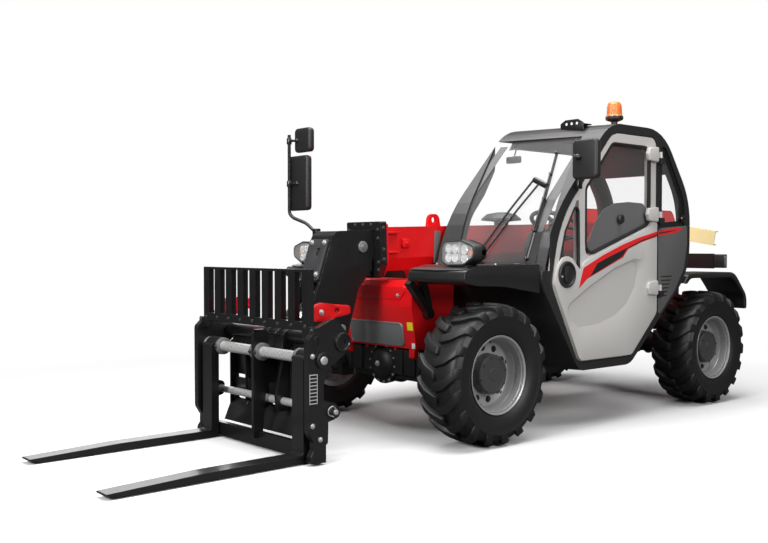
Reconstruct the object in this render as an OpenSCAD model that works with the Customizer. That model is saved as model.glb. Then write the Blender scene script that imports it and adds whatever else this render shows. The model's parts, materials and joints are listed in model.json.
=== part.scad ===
// Compact telehandler with a side cab, a two-stage boom and a floating-fork carriage.
// Lengths are millimetres. +X is forward, +Y is left, +Z is up.
// Each place is measured from the ground under the front axle, and place() then moves the whole
// machine so that the origin lies on the ground under the middle of its outline.

/* [Chassis] */
// Distance between the front and rear axles
wheelbase = 2300; // [2100:10:2600]
// Distance between the tyre centres of one axle
track = 1500; // [1440:10:1600]
// From the rear axle to the end of the tow jaw
rear_overhang = 475; // [450:5:600]
// Thickness of the two frame plates
rail_t = 20; // [12:1:25]
// Underside of the frame between the axles
belly_z = 380; // [340:5:440]
// Top of the towers that carry the boom
tower_top = 1440; // [1400:5:1520]
// Width of the red nose between the front wheels
nose_w = 690; // [600:10:700]
// Thickness of the sheet steel covers
sheet_t = 10; // [5:1:15]

/* [Wheels] */
// Outer diameter of a tyre over its lugs
tyre_d = 816; // [780:2:830]
// Width of a tyre
tyre_w = 305; // [270:1:320]
// Lugs on each side of a tyre
lug_count = 18; // [12:1:26]
// Depth of the lugs
lug_h = 26; // [12:1:40]
// Width of a lug at the shoulder
lug_w = 60; // [40:1:80]
// Angle by which the shoulder end of a lug leads its middle end
lug_lead = 14; // [0:1:25]
// Diameter over the rim flanges
rim_d = 452; // [430:2:470]
// Width over the rim flanges
rim_w = 254; // [230:2:262]
// Diameter of the hub that stands out of the rim
hub_d = 228; // [200:2:260]
// Diameter of the wheel spindle
spindle_d = 90; // [70:2:110]
// Diameter of the steering pins
kingpin_d = 56; // [40:2:64]

/* [Boom] */
// Height of the boom pivot
pivot_z = 1193; // [1150:1:1250]
// How far the boom pivot lies behind the rear axle
pivot_back = 150; // [100:5:220]
// How far the lowered boom leans down to the front, in degrees
droop = 1.6; // [0:0.1:2.5]
// From the boom pivot to the front of the boom collar
boom_len = 2721; // [2650:1:2900]
// Width of the outer boom
boom_w = 230; // [200:2:236]
// Height of the outer boom
boom_h = 272; // [240:2:290]
// Wall of both boom sections
boom_wall = 8; // [5:0.5:12]
// Space between the two boom sections
boom_play = 10; // [6:1:16]
// Room behind the inner boom section when it is drawn in
inner_room = 40; // [20:5:300]
// Diameter of the boom pivot pin
pivot_pin_d = 70; // [50:2:80]
// How far the head hangs below the middle of the boom
head_drop = 682; // [640:1:690]
// How far the carriage pin lies in front of the head's back plate
head_reach = 510; // [480:1:560]

/* [Cylinders] */
// Diameter of the lift cylinder
lift_barrel_d = 110; // [90:2:124]
// Diameter of the lift rod
lift_rod_d = 60; // [45:1:66]
// Diameter of the tilt cylinder
tilt_barrel_d = 84; // [70:2:96]
// Diameter of the tilt rod
tilt_rod_d = 45; // [35:1:52]

/* [Fork carriage] */
// Width over the side plates of the fork frame
carriage_w = 1160; // [1080:10:1260]
// Thickness of the side plates
plate_t = 40; // [25:1:50]
// Distance between the middles of the forks
fork_spread = 920; // [600:10:930]
// Length of a fork in front of its shank
fork_len = 1080; // [900:10:1250]
// Width of a fork
fork_w = 102; // [80:1:125]
// Thickness of a fork blade at its heel
fork_t = 40; // [35:1:45]
// Diameter of the shaft that the forks hang on
fork_shaft_d = 60; // [50:1:66]
// Height of the load guard above the side plates
guard_h = 300; // [200:10:400]

/* [Cab] */
// Left side of the cab, measured from the middle of the machine
cab_left = 860; // [830:5:890]
// Right side of the cab, measured from the middle of the machine
cab_right = 155; // [150:1:200]
// Top of the cab roof
roof_z = 1925; // [1900:5:2000]
// Underside of the cab floor
floor_z = 367; // [350:1:380]
// Thickness of the cab walls
cab_wall = 40; // [30:1:50]
// Thickness of the door
door_t = 45; // [35:1:50]
// Space around the door
door_gap = 6; // [5:0.5:9]
// Thickness of the window glass
glass_t = 6; // [4:0.5:8]
// How far the windscreen turns towards the left, in degrees
screen_slant = 15.5; // [8:0.5:18]
// Width over both mirrors
mirror_span = 2130; // [2100:10:2300]
// Diameter of the steering wheel
steering_d = 370; // [320:5:400]

/* [Engine side] */
// Outer side of the engine hood, measured from the middle of the machine
hood_side = 880; // [840:5:890]
// Top of the engine hood
hood_top = 1150; // [1110:5:1160]
// Thickness of the hood
hood_t = 25; // [15:1:30]

/* [Fits] */
// Running clearance around a pin
pin_gap = 0.05; // [0.02:0.01:0.1]
// Clearance between parts that only sit together
seat_gap = 0.3; // [0.2:0.1:0.5]
// Clearance beside a moving part
side_gap = 6; // [5:0.5:8]

/* [Hidden] */
$fn = 64;

// Paint and material colours
red_paint = "#c4121c";
black_paint = "#26282a";
grey_paint = "#b9b7b2";
bright_steel = "#a9adb0";
dark_plastic = "#2f3133";
tyre_rubber = "#1d1d1e";
rim_silver = "#c3c5c6";
clear_glass = [0.45, 0.5, 0.52, 0.45];
sand_yellow = "#c9a45c";

// Axles and wheels
axle_z = tyre_d / 2;
rear_x = -wheelbase;
wheel_y = track / 2;
kingpin_y = wheel_y - tyre_w / 2 + 2.5;
bead_r = rim_d / 2 - 16;
knuckle_r = 60;
knuckle_h = 184;
yoke_arm_t = 37;
yoke_half_z = knuckle_h / 2 + side_gap + yoke_arm_t;
axle_tube_d = 140;

// Frame
rail_in = boom_w / 2 + 10;
rail_out = rail_in + rail_t;
rail_top = 860;
axle_pad_z = 500;
tail_in = rail_out;
tail_out = 330;
tail_back_x = rear_x - 380;
tail_end_x = rear_x - rear_overhang;

// Boom frame: the pivot, and turns between the boom's own axes and the machine's
pivot = [rear_x - pivot_back, pivot_z];
function from_boom(p) = pivot + [
  p[0] * cos(droop) + p[1] * sin(droop), -p[0] * sin(droop) + p[1] * cos(droop)
];
head_x = boom_len + 19;
tilt_pin = from_boom([head_x + head_reach, -head_drop]);
head_w = boom_w - 2 * (boom_wall + boom_play) + 4;
head_plate_t = 20;

// Lift cylinder: its base pin in the frame and its eye under the boom
lift_base = pivot + [400, -553];
lift_pin_d = lift_rod_d;
lift_eye_x = 1349;
lift_eye_drop = boom_h / 2 + 80;
lift_eye = from_boom([lift_eye_x, -lift_eye_drop]);
lift_len = norm(lift_eye - lift_base);
lift_angle = atan2(lift_eye[1] - lift_base[1], lift_eye[0] - lift_base[0]);

// Tilt cylinder: its base pin in the head and its eye on the hitch frame
tilt_base = from_boom([head_x + 72, 20]);
tilt_eye = tilt_pin + [18, 260];
tilt_len = norm(tilt_eye - tilt_base);
tilt_angle = atan2(tilt_eye[1] - tilt_base[1], tilt_eye[0] - tilt_base[0]);
tilt_pin_d = 44;

// Carriage, measured from the carriage pin
carriage_pin_d = 60;
hitch_tube = [117, 212];
hitch_tube_d = 76;
lower_shaft = [175, -150];
lower_shaft_d = 44;
fork_shaft = [250, 125];
fork_face = 320;
shank_t = 50;
fork_bottom = -412;
fork_eye_d = fork_shaft_d + 44;
guard_back = 265;
guard_bar_t = 35;
guard_bar_w = 60;
guard_bars = 9;
guard_top_t = 14;
plate_top = 295;
hitch_plate_t = 20;
hitch_in = head_w / 2 + side_gap;

// The machine's ends, and the shift that brings the middle of its outline over the origin
fork_tip_x = tilt_pin[0] + fork_face + fork_len;
shift_x = -(fork_tip_x + tail_end_x) / 2;

// Corner rounding: a point is [x, z] or [x, z, radius]
function unit(v) = v / norm(v);
function flat(p) = [p[0], p[1]];
function radius(p) = len(p) < 3 ? 0 : p[2];
function fillet(a, b, c, r, n) =
  let (
    u = unit(a - b),
    v = unit(c - b),
    half = acos(u * v) / 2,
    centre = b + unit(u + v) * r / sin(half),
    start = b + u * r / tan(half) - centre,
    turn = (180 - 2 * half) * (cross(u, v) < 0 ? 1 : -1)
  )
  [for (i = [0:n]) let (t = turn * i / n)
    centre + [start[0] * cos(t) - start[1] * sin(t), start[0] * sin(t) + start[1] * cos(t)]];
function rounded(pts, n = 6) =
  let (k = len(pts))
  [for (i = [0:k - 1])
    each radius(pts[i]) == 0 ? [flat(pts[i])]
      : fillet(flat(pts[(i + k - 1) % k]), flat(pts[i]), flat(pts[(i + 1) % k]), pts[i][2], n)];
// Moves each side of a counter-clockwise outline inwards by d
function inset(pts, d) =
  let (k = len(pts))
  [for (i = [0:k - 1])
    let (
      b = flat(pts[i]),
      u = unit(b - flat(pts[(i + k - 1) % k])),
      v = unit(flat(pts[(i + 1) % k]) - b),
      m = [-u[1], u[0]],
      n = [-v[1], v[0]],
      q = b + (m + n) * d / (1 + m * n)
    )
    [q[0], q[1], radius(pts[i]) == 0 ? 0 : max(radius(pts[i]) - d, 1)]];

module place() {
  translate([shift_x, 0, 0]) children();
}

// Extrudes an outline in the XZ plane from y0 to y1
module across(y0, y1) {
  translate([0, y1, 0]) rotate([90, 0, 0]) linear_extrude(y1 - y0) children();
}

module rod_y(p, d, y0, y1) {
  translate([p[0], y1, p[1]]) rotate([90, 0, 0]) cylinder(d = d, h = y1 - y0);
}

module box(low, high) {
  translate(low) cube(high - low);
}

module both_sides() {
  children();
  mirror([0, 1, 0]) children();
}

module boom_axes() {
  translate([pivot[0], 0, pivot[1]]) rotate([0, droop, 0]) children();
}

module pin_axes(p, angle) {
  translate([p[0], 0, p[1]]) rotate([0, -angle, 0]) children();
}

// Frame: two plates with towers at the back, a belly plate, an engine tray and the tail boxes
rail_side = [
  [130, axle_pad_z], [130, rail_top], [rear_x + 800, rail_top], [rear_x + 350, tower_top - 60, 60],
  [rear_x + 250, tower_top, 60], [tail_back_x + 80, tower_top, 40], [tail_back_x, tower_top - 130, 40],
  [tail_back_x, axle_pad_z], [rear_x + 320, axle_pad_z], [rear_x + 450, belly_z], [-420, belly_z],
  [-300, axle_pad_z]
];
tail_box_side = [
  [rear_x + 160, 960, 20], [rear_x + 60, tower_top - 20, 60], [tail_back_x + 70, tower_top - 20, 60],
  [tail_back_x, tower_top - 140, 40], [tail_back_x, 960]
];
tray_z = belly_z + 20;
tray_t = 20;
tray_front = -560;
tray_back = rear_x + 560;
hinge_post_x = [-720, -1560];
hood_axis = [-170, hood_top + 15];
hood_pin_d = 20;

module chassis_frame() {
  color(red_paint) {
    both_sides() across(rail_in, rail_out) polygon(rounded(rail_side));
    both_sides() across(tail_in, tail_out) polygon(rounded(tail_box_side));
    rod_y(pivot, pivot_pin_d, -rail_out, rail_out);
    rod_y(lift_base, lift_pin_d, -rail_out, rail_out);
    box([rear_x + 450, -rail_in, belly_z], [-420, rail_in, belly_z + rail_t]);
    box([-280, -rail_in, axle_pad_z + 60], [110, rail_in, rail_top - 20]);
    box([tail_back_x, -rail_in, axle_pad_z], [tail_back_x + rail_t, rail_in, pivot[1] - 160]);
    box([tray_back, -hood_side + 30, tray_z], [tray_front, -rail_out, tray_z + tray_t]);
    // Pads that the cab stands against
    for (x = [-760, -1480]) box([x - 60, rail_out, 440], [x + 60, cab_right, 520]);
    // Posts and pins of the hood hinge
    for (x = hinge_post_x) {
      box([x - 30, hood_axis[0] - 14, tray_z + tray_t], [x, hood_axis[0] + 14, hood_axis[1] + 16]);
      translate([x, hood_axis[0], hood_axis[1]]) rotate([0, 90, 0]) cylinder(d = hood_pin_d, h = 60);
    }
  }
}

// Nose cover between the front wheels, open below and behind
nose_top = 930;
nose_back = -165;
nose_side = [
  [nose_back, 520], [150, 520], [160, 600, 30], [188, 775, 60], [184, 890, 20], [150, nose_top, 20],
  [nose_back, nose_top]
];
nose_hollow = [
  [nose_back - 1, 519], [150 - sheet_t, 519], [160 - sheet_t, 600, 20], [188 - sheet_t, 775, 50],
  [184 - sheet_t, 890 - sheet_t / 2, 10], [150 - sheet_t / 2, nose_top - sheet_t, 10],
  [nose_back - 1, nose_top - sheet_t]
];
module nose() {
  color(red_paint) {
    difference() {
      across(-nose_w / 2, nose_w / 2) polygon(rounded(nose_side));
      across(-nose_w / 2 + sheet_t, nose_w / 2 - sheet_t) polygon(rounded(nose_hollow));
    }
    // Ribs that hold the cover on the frame plates
    both_sides() box([-100, rail_out, 700], [-80, nose_w / 2 - sheet_t, 800]);
  }
}

module engine_block() {
  engine_top = 1040;
  color(dark_plastic) {
    box([-1500, -700, tray_z + tray_t], [-700, -240, engine_top]);
    box([-1620, -600, tray_z + tray_t], [-1500, -300, 900]);
  }
}

// Driven steering axle: housing, tubes, pads under the frame and a yoke at each end
module axle(x) {
  color(black_paint) translate([x, 0, axle_z]) {
    yoke_web = [kingpin_y - 110, kingpin_y - knuckle_r - side_gap];
    difference() {
      union() {
        rotate([90, 0, 0]) translate([0, 0, -yoke_web[0] - 20])
          cylinder(d = axle_tube_d, h = 2 * (yoke_web[0] + 20));
        rotate([90, 0, 0]) rotate_extrude() polygon([
          [0, -rail_in + 10], [axle_tube_d / 2, -rail_in + 10], [125, -60], [125, 60],
          [axle_tube_d / 2, rail_in - 10], [0, rail_in - 10]
        ]);
        both_sides() box([-100, rail_in - 10, 0], [100, rail_out + 10, axle_pad_z - axle_z]);
        both_sides() {
          box([-50, yoke_web[0], -yoke_half_z], [50, yoke_web[1], yoke_half_z]);
          for (s = [-1, 1])
            translate([0, kingpin_y, s * (yoke_half_z - yoke_arm_t / 2)]) {
              cylinder(r = 48, h = yoke_arm_t, center = true);
              translate([-48, -110, -yoke_arm_t / 2]) cube([96, 110, yoke_arm_t]);
            }
        }
      }
      both_sides() translate([0, kingpin_y, -yoke_half_z - 1])
        cylinder(d = kingpin_d + 2 * pin_gap, h = 2 * yoke_half_z + 2);
    }
  }
}
module front_axle() {
  axle(0);
}
module rear_axle() {
  axle(rear_x);
}

// Steering knuckle with its pins and the wheel spindle, for the left side
hub_inner = wheel_y - 60;
spindle_end = wheel_y + 35;
module knuckle(x) {
  color(black_paint) translate([x, kingpin_y, axle_z]) {
    cylinder(r = knuckle_r, h = knuckle_h, center = true);
    cylinder(d = kingpin_d, h = 2 * yoke_half_z, center = true);
    rod_y([0, 0], spindle_d, 0, spindle_end - kingpin_y);
    rod_y([0, 0], spindle_d + 30, 0, hub_inner - kingpin_y - side_gap);
  }
}

// Tyre with its slanted lugs: rows of points from the middle out to the left bead, each with the radius
// and the place across of the lug, those of the carcass between lugs, the lead angle and the lug's width
tyre_r = tyre_d / 2;
tyre_half = tyre_w / 2;
rim_half = rim_w / 2;
flange_t = 6;
ridge_drop = 72;
shoulder_drop = 15;
lug_step = 360 / lug_count;
lug_flank = asin(8 / tyre_r);
bead_y = rim_half - flange_t - seat_gap;
tyre_rows = [
  [tyre_r, 6, tyre_r - lug_h, 4, 0, lug_w * 0.8],
  [tyre_r - 1.5, tyre_half * 0.49, tyre_r - lug_h - 1, tyre_half * 0.48, lug_lead * 0.25, lug_w * 0.92],
  [tyre_r - shoulder_drop, tyre_half * 0.92, tyre_r - lug_h - shoulder_drop, tyre_half * 0.9,
    lug_lead * 0.82, lug_w],
  [tyre_r - ridge_drop, tyre_half, tyre_r - ridge_drop - 2, tyre_half - 3, lug_lead, lug_w * 0.85]
];
// One corner of a lug stands straight below the axle
lug_start = -90 + asin(tyre_rows[0][5] / 2 / tyre_r);
lug_corners = [[-1, 1], [-1, 0], [1, 0], [1, 1]];
row_n = 4 * lug_count;
half_n = 4 * row_n + 2 * lug_count;
function around(r, y, a) = [r * cos(a), y, r * sin(a)];
function lug_row(row, side, turn) = [
  for (k = [0:lug_count - 1], c = lug_corners)
    around(row[2 * c[1]], side * row[1 + 2 * c[1]],
      lug_start + turn + k * lug_step + row[4] + c[0] * (asin(row[5] / 2 / row[0]) + c[1] * lug_flank))
];
function plain_row(r, y, turn) = [
  for (k = [0:2 * lug_count - 1]) around(r, y, lug_start + turn + (k / 2 - 0.25) * lug_step)
];
function half_points(side, turn) = concat(
  [for (row = tyre_rows) each lug_row(row, side, turn)],
  plain_row(rim_d / 2 + 2, side * bead_y, turn + tyre_rows[3][4])
);
function face(side, f) = side > 0 ? f : [for (i = [len(f) - 1:-1:0]) f[i]];
// Bands between rows of lug corners
function band_faces(base, side) = [
  for (j = [0:2], i = [0:row_n - 1])
    let (a = base + j * row_n + i, b = base + j * row_n + (i + 1) % row_n)
      each [face(side, [a, b, b + row_n]), face(side, [a, b + row_n, a + row_n])]
];
// A row of lug corners joined to a plain ring of half as many points
function ring_faces(row, ring, side, turn) = [
  for (k = [0:lug_count - 1])
    let (
      a = row + 4 * k, next = row + (4 * k + 4) % row_n, n = 2 * lug_count,
      p = ring + (2 * k + turn) % n, q = ring + (2 * k + 1 + turn) % n, r = ring + (2 * k + 2 + turn) % n
    )
      for (f = [
        [a, p, a + 1], [a + 1, p, a + 2], [a + 2, p, q], [a + 2, q, a + 3], [a + 3, q, next], [next, q, r]
      ]) face(side, f)
];
function half_faces(base, middle, side, turn) = concat(
  band_faces(base, side),
  ring_faces(base, middle, side, turn),
  ring_faces(base + 3 * row_n, base + 4 * row_n, -side, 0),
  [face(side, [for (k = [0:2 * lug_count - 1]) base + 4 * row_n + k])]
);
module tyre(x) {
  color(tyre_rubber) translate([x, wheel_y, axle_z]) difference() {
    polyhedron(
      concat(half_points(1, 0), half_points(-1, lug_step / 2), plain_row(tyre_r - lug_h, 0, 0)),
      concat(half_faces(0, 2 * half_n, 1, 0), half_faces(half_n, 2 * half_n, -1, 1))
    );
    rod_y([0, 0], 2 * (bead_r + seat_gap), -tyre_w, tyre_w);
  }
}

// Rim with its deep disc and the planetary hub, for the left side
rim_wall = 14;
disc_t = 16;
hub_face = 85;
module wheel(x) {
  color(rim_silver) translate([x, wheel_y, axle_z]) difference() {
    union() {
      rotate([-90, 0, 0]) rotate_extrude() polygon([
        [bead_r - rim_wall, -rim_half], [rim_d / 2, -rim_half], [rim_d / 2, -rim_half + flange_t],
        [bead_r, -rim_half + flange_t], [bead_r, rim_half - flange_t], [rim_d / 2, rim_half - flange_t],
        [rim_d / 2, rim_half], [bead_r - rim_wall, rim_half], [bead_r - rim_wall - 6, rim_half - 60],
        [bead_r - rim_wall - 6, disc_t / 2], [hub_d / 2 - 5, disc_t / 2 + 8], [hub_d / 2, disc_t / 2 + 12],
        [hub_d / 2, hub_face - 12], [hub_d / 2 - 12, hub_face], [0, hub_face],
        [0, hub_inner - wheel_y], [spindle_d / 2 + 40, hub_inner - wheel_y],
        [spindle_d / 2 + 40, -disc_t / 2], [bead_r - rim_wall - 6, -disc_t / 2]
      ]);
    }
    rod_y([0, 0], spindle_d + 2 * pin_gap, hub_inner - wheel_y - 1, spindle_end - wheel_y + side_gap);
  }
}

// Cab outlines seen from the left: the long one gives its back, the front one its slanted front
knee = [-388, 920];
cab_back = -1990;
cab_long = [
  [100, floor_z], [100, roof_z], [-1650, roof_z, 350], [cab_back, 1460, 500], [cab_back, 964, 400],
  [-1282, floor_z, 150]
];
// The front outline stands over the roof and the floor, so that only the long one gives those faces
front_over = 3;
cab_front = [
  [-3000, floor_z - front_over], [-745, floor_z - front_over, 120], [knee[0], knee[1], 180],
  [-469, 1288, 1000], [-1042, roof_z + front_over, 300], [-3000, roof_z + front_over]
];
slant_x = -700;
slant_w = (cab_left - cab_right) / cos(screen_slant);
door_outline = [
  [-735, floor_z + 58, 60], [-478, 905, 120], [-556, 1290, 700], [-1085, roof_z - 63, 150],
  [-1567, roof_z - 63, 60], [-1567, 690, 200], [-1275, floor_z + 58, 120]
];
door_front_pane = [[-745, 965, 20], [-535, 1000, 25], [-600, 1230, 400], [-735, 1450, 12]];
door_main_pane = [
  [-800, 1065, 40], [-800, 1500, 60], [-1075, roof_z - 125, 120], [-1500, roof_z - 125, 80],
  [-1500, 1285, 60]
];
quarter_pane = [
  [-1625, 985, 30], [-1625, roof_z - 115, 25], [-1685, roof_z - 115, 40], [-1925, 1450, 300],
  [-1925, 1075, 150], [-1860, 985, 60]
];
right_pane = [
  [-380, 1040, 60], [-480, 1330, 300], [-880, roof_z - 125, 120], [-1640, roof_z - 125, 200],
  [-1880, 1450, 250], [-1880, 1040, 100]
];
screen_cut = [[-760, 990], [100, 990], [100, roof_z - 85], [-1100, roof_z - 85], [-1000, 1700]];
screen_edge = 65;
roof_pane = [-1500, -1110];
roof_edge = 85;
rear_pane = [1180, 1640];

// The turned axes of the windscreen: their y runs along the glass, from the cab's left side
module screen_axes() {
  translate([slant_x, cab_left, 0]) rotate([0, 0, screen_slant]) translate([-slant_x, 0, 0]) children();
}
module cab_solid(d, y0, y1) {
  intersection() {
    across(y0, y1) polygon(rounded(inset(cab_long, d)));
    screen_axes() across(-slant_w - 400, 400) polygon(rounded(inset(cab_front, d)));
  }
}
module screen_opening(gap) {
  screen_axes() across(-slant_w + screen_edge + gap, -screen_edge - gap)
    polygon(rounded(inset(screen_cut, gap)));
}
module roof_opening(gap) {
  box([roof_pane[0] + gap, cab_right + roof_edge + gap, roof_z - 100],
    [roof_pane[1] - gap, cab_left - roof_edge - gap, roof_z + 50]);
}
module rear_opening(gap) {
  box([cab_back - 50, cab_right + roof_edge + gap, rear_pane[0] + gap],
    [cab_back + 200, cab_left - roof_edge - gap, rear_pane[1] - gap]);
}

cab_mid = (cab_left + cab_right) / 2;
beacon_spot = [-1590, cab_mid];

// Door hinge: pins on the cab, sleeves on the door
door_axis = [-1588, cab_left + 20];
door_hinge_z = [840, 1330, 1730];
door_pin_d = 16;
door_sleeve_d = 30;
hinge_h = 40;
module cab_frame() {
  color(dark_plastic) {
    difference() {
      cab_solid(0, cab_right, cab_left);
      cab_solid(cab_wall, cab_right + cab_wall, cab_left - door_t);
      across(cab_left - door_t - 1, cab_left + 1) polygon(rounded(inset(door_outline, -door_gap)));
      across(cab_left - door_t - 1, cab_left + 1) polygon(rounded(quarter_pane));
      across(cab_right - 1, cab_right + cab_wall + 1) polygon(rounded(right_pane));
      screen_opening(0);
      roof_opening(0);
      rear_opening(0);
    }
    // Pad under the beacon
    translate([beacon_spot[0], beacon_spot[1], roof_z - 45]) cylinder(d = 80, h = 45);
    for (z = door_hinge_z) {
      box([door_axis[0] - 40, cab_left, z - hinge_h], [door_axis[0] + 10, door_axis[1] + 12, z - 1]);
      translate([door_axis[0], door_axis[1], z - 2]) cylinder(d = door_pin_d, h = hinge_h + 2);
    }
  }
}
glass_set = 14;
module cab_glass() {
  color(clear_glass) {
    intersection() {
      difference() {
        cab_solid(glass_set, cab_right, cab_left);
        cab_solid(glass_set + glass_t, cab_right - 1, cab_left + 1);
      }
      union() {
        screen_opening(seat_gap);
        roof_opening(seat_gap);
        rear_opening(seat_gap);
      }
    }
    across(cab_left - glass_set - glass_t, cab_left - glass_set)
      polygon(rounded(inset(quarter_pane, seat_gap)));
    across(cab_right + glass_set, cab_right + glass_set + glass_t)
      polygon(rounded(inset(right_pane, seat_gap)));
  }
}
module door_panel() {
  color(grey_paint) {
    difference() {
      across(cab_left - door_t, cab_left) polygon(rounded(door_outline));
      across(cab_left - door_t - 1, cab_left + 1) {
        polygon(rounded(door_front_pane));
        polygon(rounded(door_main_pane));
      }
    }
    for (z = door_hinge_z) difference() {
      union() {
        translate([door_axis[0], door_axis[1], z]) cylinder(d = door_sleeve_d, h = hinge_h);
        box([door_axis[0], cab_left, z], [door_axis[0] + 70, door_axis[1], z + hinge_h]);
      }
      translate([door_axis[0], door_axis[1], z - 1])
        cylinder(d = door_pin_d + 2 * pin_gap, h = hinge_h + 2);
    }
    // Latch boss
    rod_y([-622, 925], 150, cab_left, cab_left + 14);
  }
}
module door_glass() {
  color(clear_glass) across(cab_left - glass_set - glass_t, cab_left - glass_set) {
    polygon(rounded(inset(door_front_pane, seat_gap)));
    polygon(rounded(inset(door_main_pane, seat_gap)));
  }
}

// Inside of the cab
cab_floor = floor_z + cab_wall;
seat_w = 450;
seat_base = [[-1200, cab_floor], [-1120, cab_floor], [-1120, 810], [-1450, 810], [-1450, 660]];
seat_pad = [[-1600, 800, 20], [-1100, 800, 30], [-1090, 930, 40], [-1500, 915, 20], [-1600, 1100]];
seat_back = [[-1600, 820], [-1500, 900], [-1580, 1330, 50], [-1680, 1370, 40], [-1700, 1250]];
module seat() {
  color(dark_plastic) {
    across(cab_mid - seat_w / 2 + 60, cab_mid + seat_w / 2 - 60) polygon(seat_base);
    across(cab_mid - seat_w / 2, cab_mid + seat_w / 2) polygon(rounded(seat_pad));
    across(cab_mid - seat_w / 2, cab_mid + seat_w / 2) polygon(rounded(seat_back));
  }
}
steering_hub = [-960, 1280];
steering_tilt = 28;
steering_rim_d = 32;
module steering() {
  column_foot = [-800, cab_floor];
  column = steering_hub - column_foot;
  color(dark_plastic) {
    translate([steering_hub[0], cab_mid, steering_hub[1]]) rotate([0, -steering_tilt, 0]) {
      rotate_extrude() translate([steering_d / 2 - steering_rim_d / 2, 0])
        circle(d = steering_rim_d, $fn = 24);
      cylinder(d = 110, h = 50, center = true);
      for (a = [0, 120, 240]) rotate([0, 0, a]) translate([0, -20, -8]) cube([steering_d / 2 - 16, 40, 16]);
    }
    intersection() {
      translate([column_foot[0], cab_mid, column_foot[1]])
        rotate([0, atan2(column[0], column[1]), 0])
        translate([0, 0, -60]) cylinder(d = 80, h = norm(column) + 60);
      box([-1500, 0, cab_floor], [0, 2000, steering_hub[1]]);
    }
  }
}
console_top = 985;
console_w = 76;
module dashboard() {
  color(dark_plastic) {
    // Right-hand console with the boom lever
    across(cab_right + cab_wall, cab_right + cab_wall + console_w)
      polygon(rounded([
        [-1190, cab_floor], [-700, cab_floor], [-560, 900, 40], [-700, console_top, 60],
        [-1480, console_top, 40], [-1480, 670]
      ]));
    translate([-1050, cab_right + cab_wall + console_w / 2, console_top]) {
      translate([0, 0, -5]) cylinder(d1 = 70, d2 = 30, h = 80);
      translate([0, 0, 70]) cylinder(d = 44, h = 110);
    }
  }
}

// Black cowls over the front wheels; the left one stops in front of the cab
cowl_in = nose_w / 2 + 46;
cowl_side = [
  [-405, 855, 20], [-300, 872, 60], [-80, 905, 200], [150, 915, 60], [262, 935, 20], [252, 1000, 30],
  [120, 1030, 60], [-390, 1030, 30], [-440, 930, 30]
];
cowl_out = cab_left - 10;
lamp_x = 195;
module front_cowls() {
  color(dark_plastic) {
    difference() {
      across(cowl_in, cowl_out) polygon(rounded(cowl_side));
      translate([knee[0] + side_gap, cab_left, 0]) rotate([0, 0, screen_slant])
        translate([-1000, -1200, 0]) cube([1000, 1600, 2000]);
    }
    mirror([0, 1, 0]) across(cowl_in, cowl_out) polygon(rounded(cowl_side));
  }
}
lamp_w = 250;
lamp_h = 145;
lamp_depth = 110;
lamp_mid = 745;
cowl_top = 1030;
module headlamps() {
  color("#e8e8e4") both_sides()
    translate([lamp_x - lamp_depth, lamp_mid, cowl_top]) rotate([90, 0, 90]) linear_extrude(lamp_depth)
      polygon(rounded([
        [-lamp_w / 2, 0, 20], [lamp_w / 2, 0, 20], [lamp_w / 2, lamp_h - 25, 30], [0, lamp_h, 60],
        [-lamp_w / 2, lamp_h - 10, 30]
      ]));
}
// Square-tube brackets between the nose and the cowls
bracket_foot = [70, 735];
module bracket_leg(to) {
  leg = to - bracket_foot;
  across(nose_w / 2, cowl_in)
    translate(bracket_foot) rotate(atan2(leg[1], leg[0])) translate([0, -20]) square([norm(leg), 40]);
}
module front_brackets() {
  color(black_paint) both_sides() {
    bracket_leg([232, 928]);
    bracket_leg([135, 985]);
    across(nose_w / 2, cowl_in) translate(bracket_foot) circle(d = 60);
  }
}

// Arched fenders over the rear wheels
fender_top = 950;
fender_t = 14;
fender_in = 570;
fender_out = wheel_y + tyre_half - 30;
fender_side = [
  [rear_x + 390, 880], [rear_x + 330, fender_top, 80], [rear_x - 290, fender_top, 150],
  [rear_x - 472, 770, 60], [rear_x - 472, 670]
];
fender_hollow = [
  [rear_x + 390 - fender_t, 880], [rear_x + 330 - fender_t, fender_top - fender_t, 66],
  [rear_x - 290 + fender_t, fender_top - fender_t, 136], [rear_x - 472 + fender_t, 770, 46],
  [rear_x - 472 + fender_t, 669], [rear_x + 300, 669]
];
module rear_fenders() {
  color(dark_plastic) both_sides() {
    across(fender_in, fender_out) difference() {
      polygon(rounded(fender_side));
      polygon(rounded(fender_hollow));
    }
    box([rear_x - 140, tail_out, fender_top - 40], [rear_x - 60, fender_in + 20, fender_top]);
    box([rear_x - 140, tail_out - 60, fender_top - 40], [rear_x - 60, tail_out, 960]);
  }
}

// Counterweight with the lamp bar and the tow jaw
weight_front = tail_back_x;
weight_back = tail_end_x + 60;
lamp_bar_z = [970, 1085];
lamp_bar_x = [weight_front - 30, weight_front];
lamp_bar_out = 640;
tow_bore_d = 31;
tow_gap = 80;
tow_plate_t = 25;
tow_z = 560;
tow_x = tail_end_x + 38;
module tail_weight() {
  color(black_paint) difference() {
    union() {
      box([weight_back, -tail_out, 470], [weight_front, tail_out, lamp_bar_z[1]]);
      box([lamp_bar_x[0], -lamp_bar_out, lamp_bar_z[0]], [lamp_bar_x[1], lamp_bar_out, lamp_bar_z[1]]);
      for (s = [-1, 1]) translate([0, 0, tow_z + s * (tow_gap + tow_plate_t) / 2]) {
        translate([tow_x, 0, 0]) cylinder(r = tow_x - tail_end_x, h = tow_plate_t, center = true);
        translate([(tow_x + weight_back) / 2 + 10, 0, 0])
          cube([weight_back - tow_x + 20, 2 * (tow_x - tail_end_x), tow_plate_t], center = true);
      }
    }
    translate([tow_x, 0, tow_z - tow_gap]) cylinder(d = tow_bore_d, h = 2 * tow_gap);
    translate([weight_back - 1, -90, tow_z - tow_gap / 2]) cube([25, 180, tow_gap]);
  }
}
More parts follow.
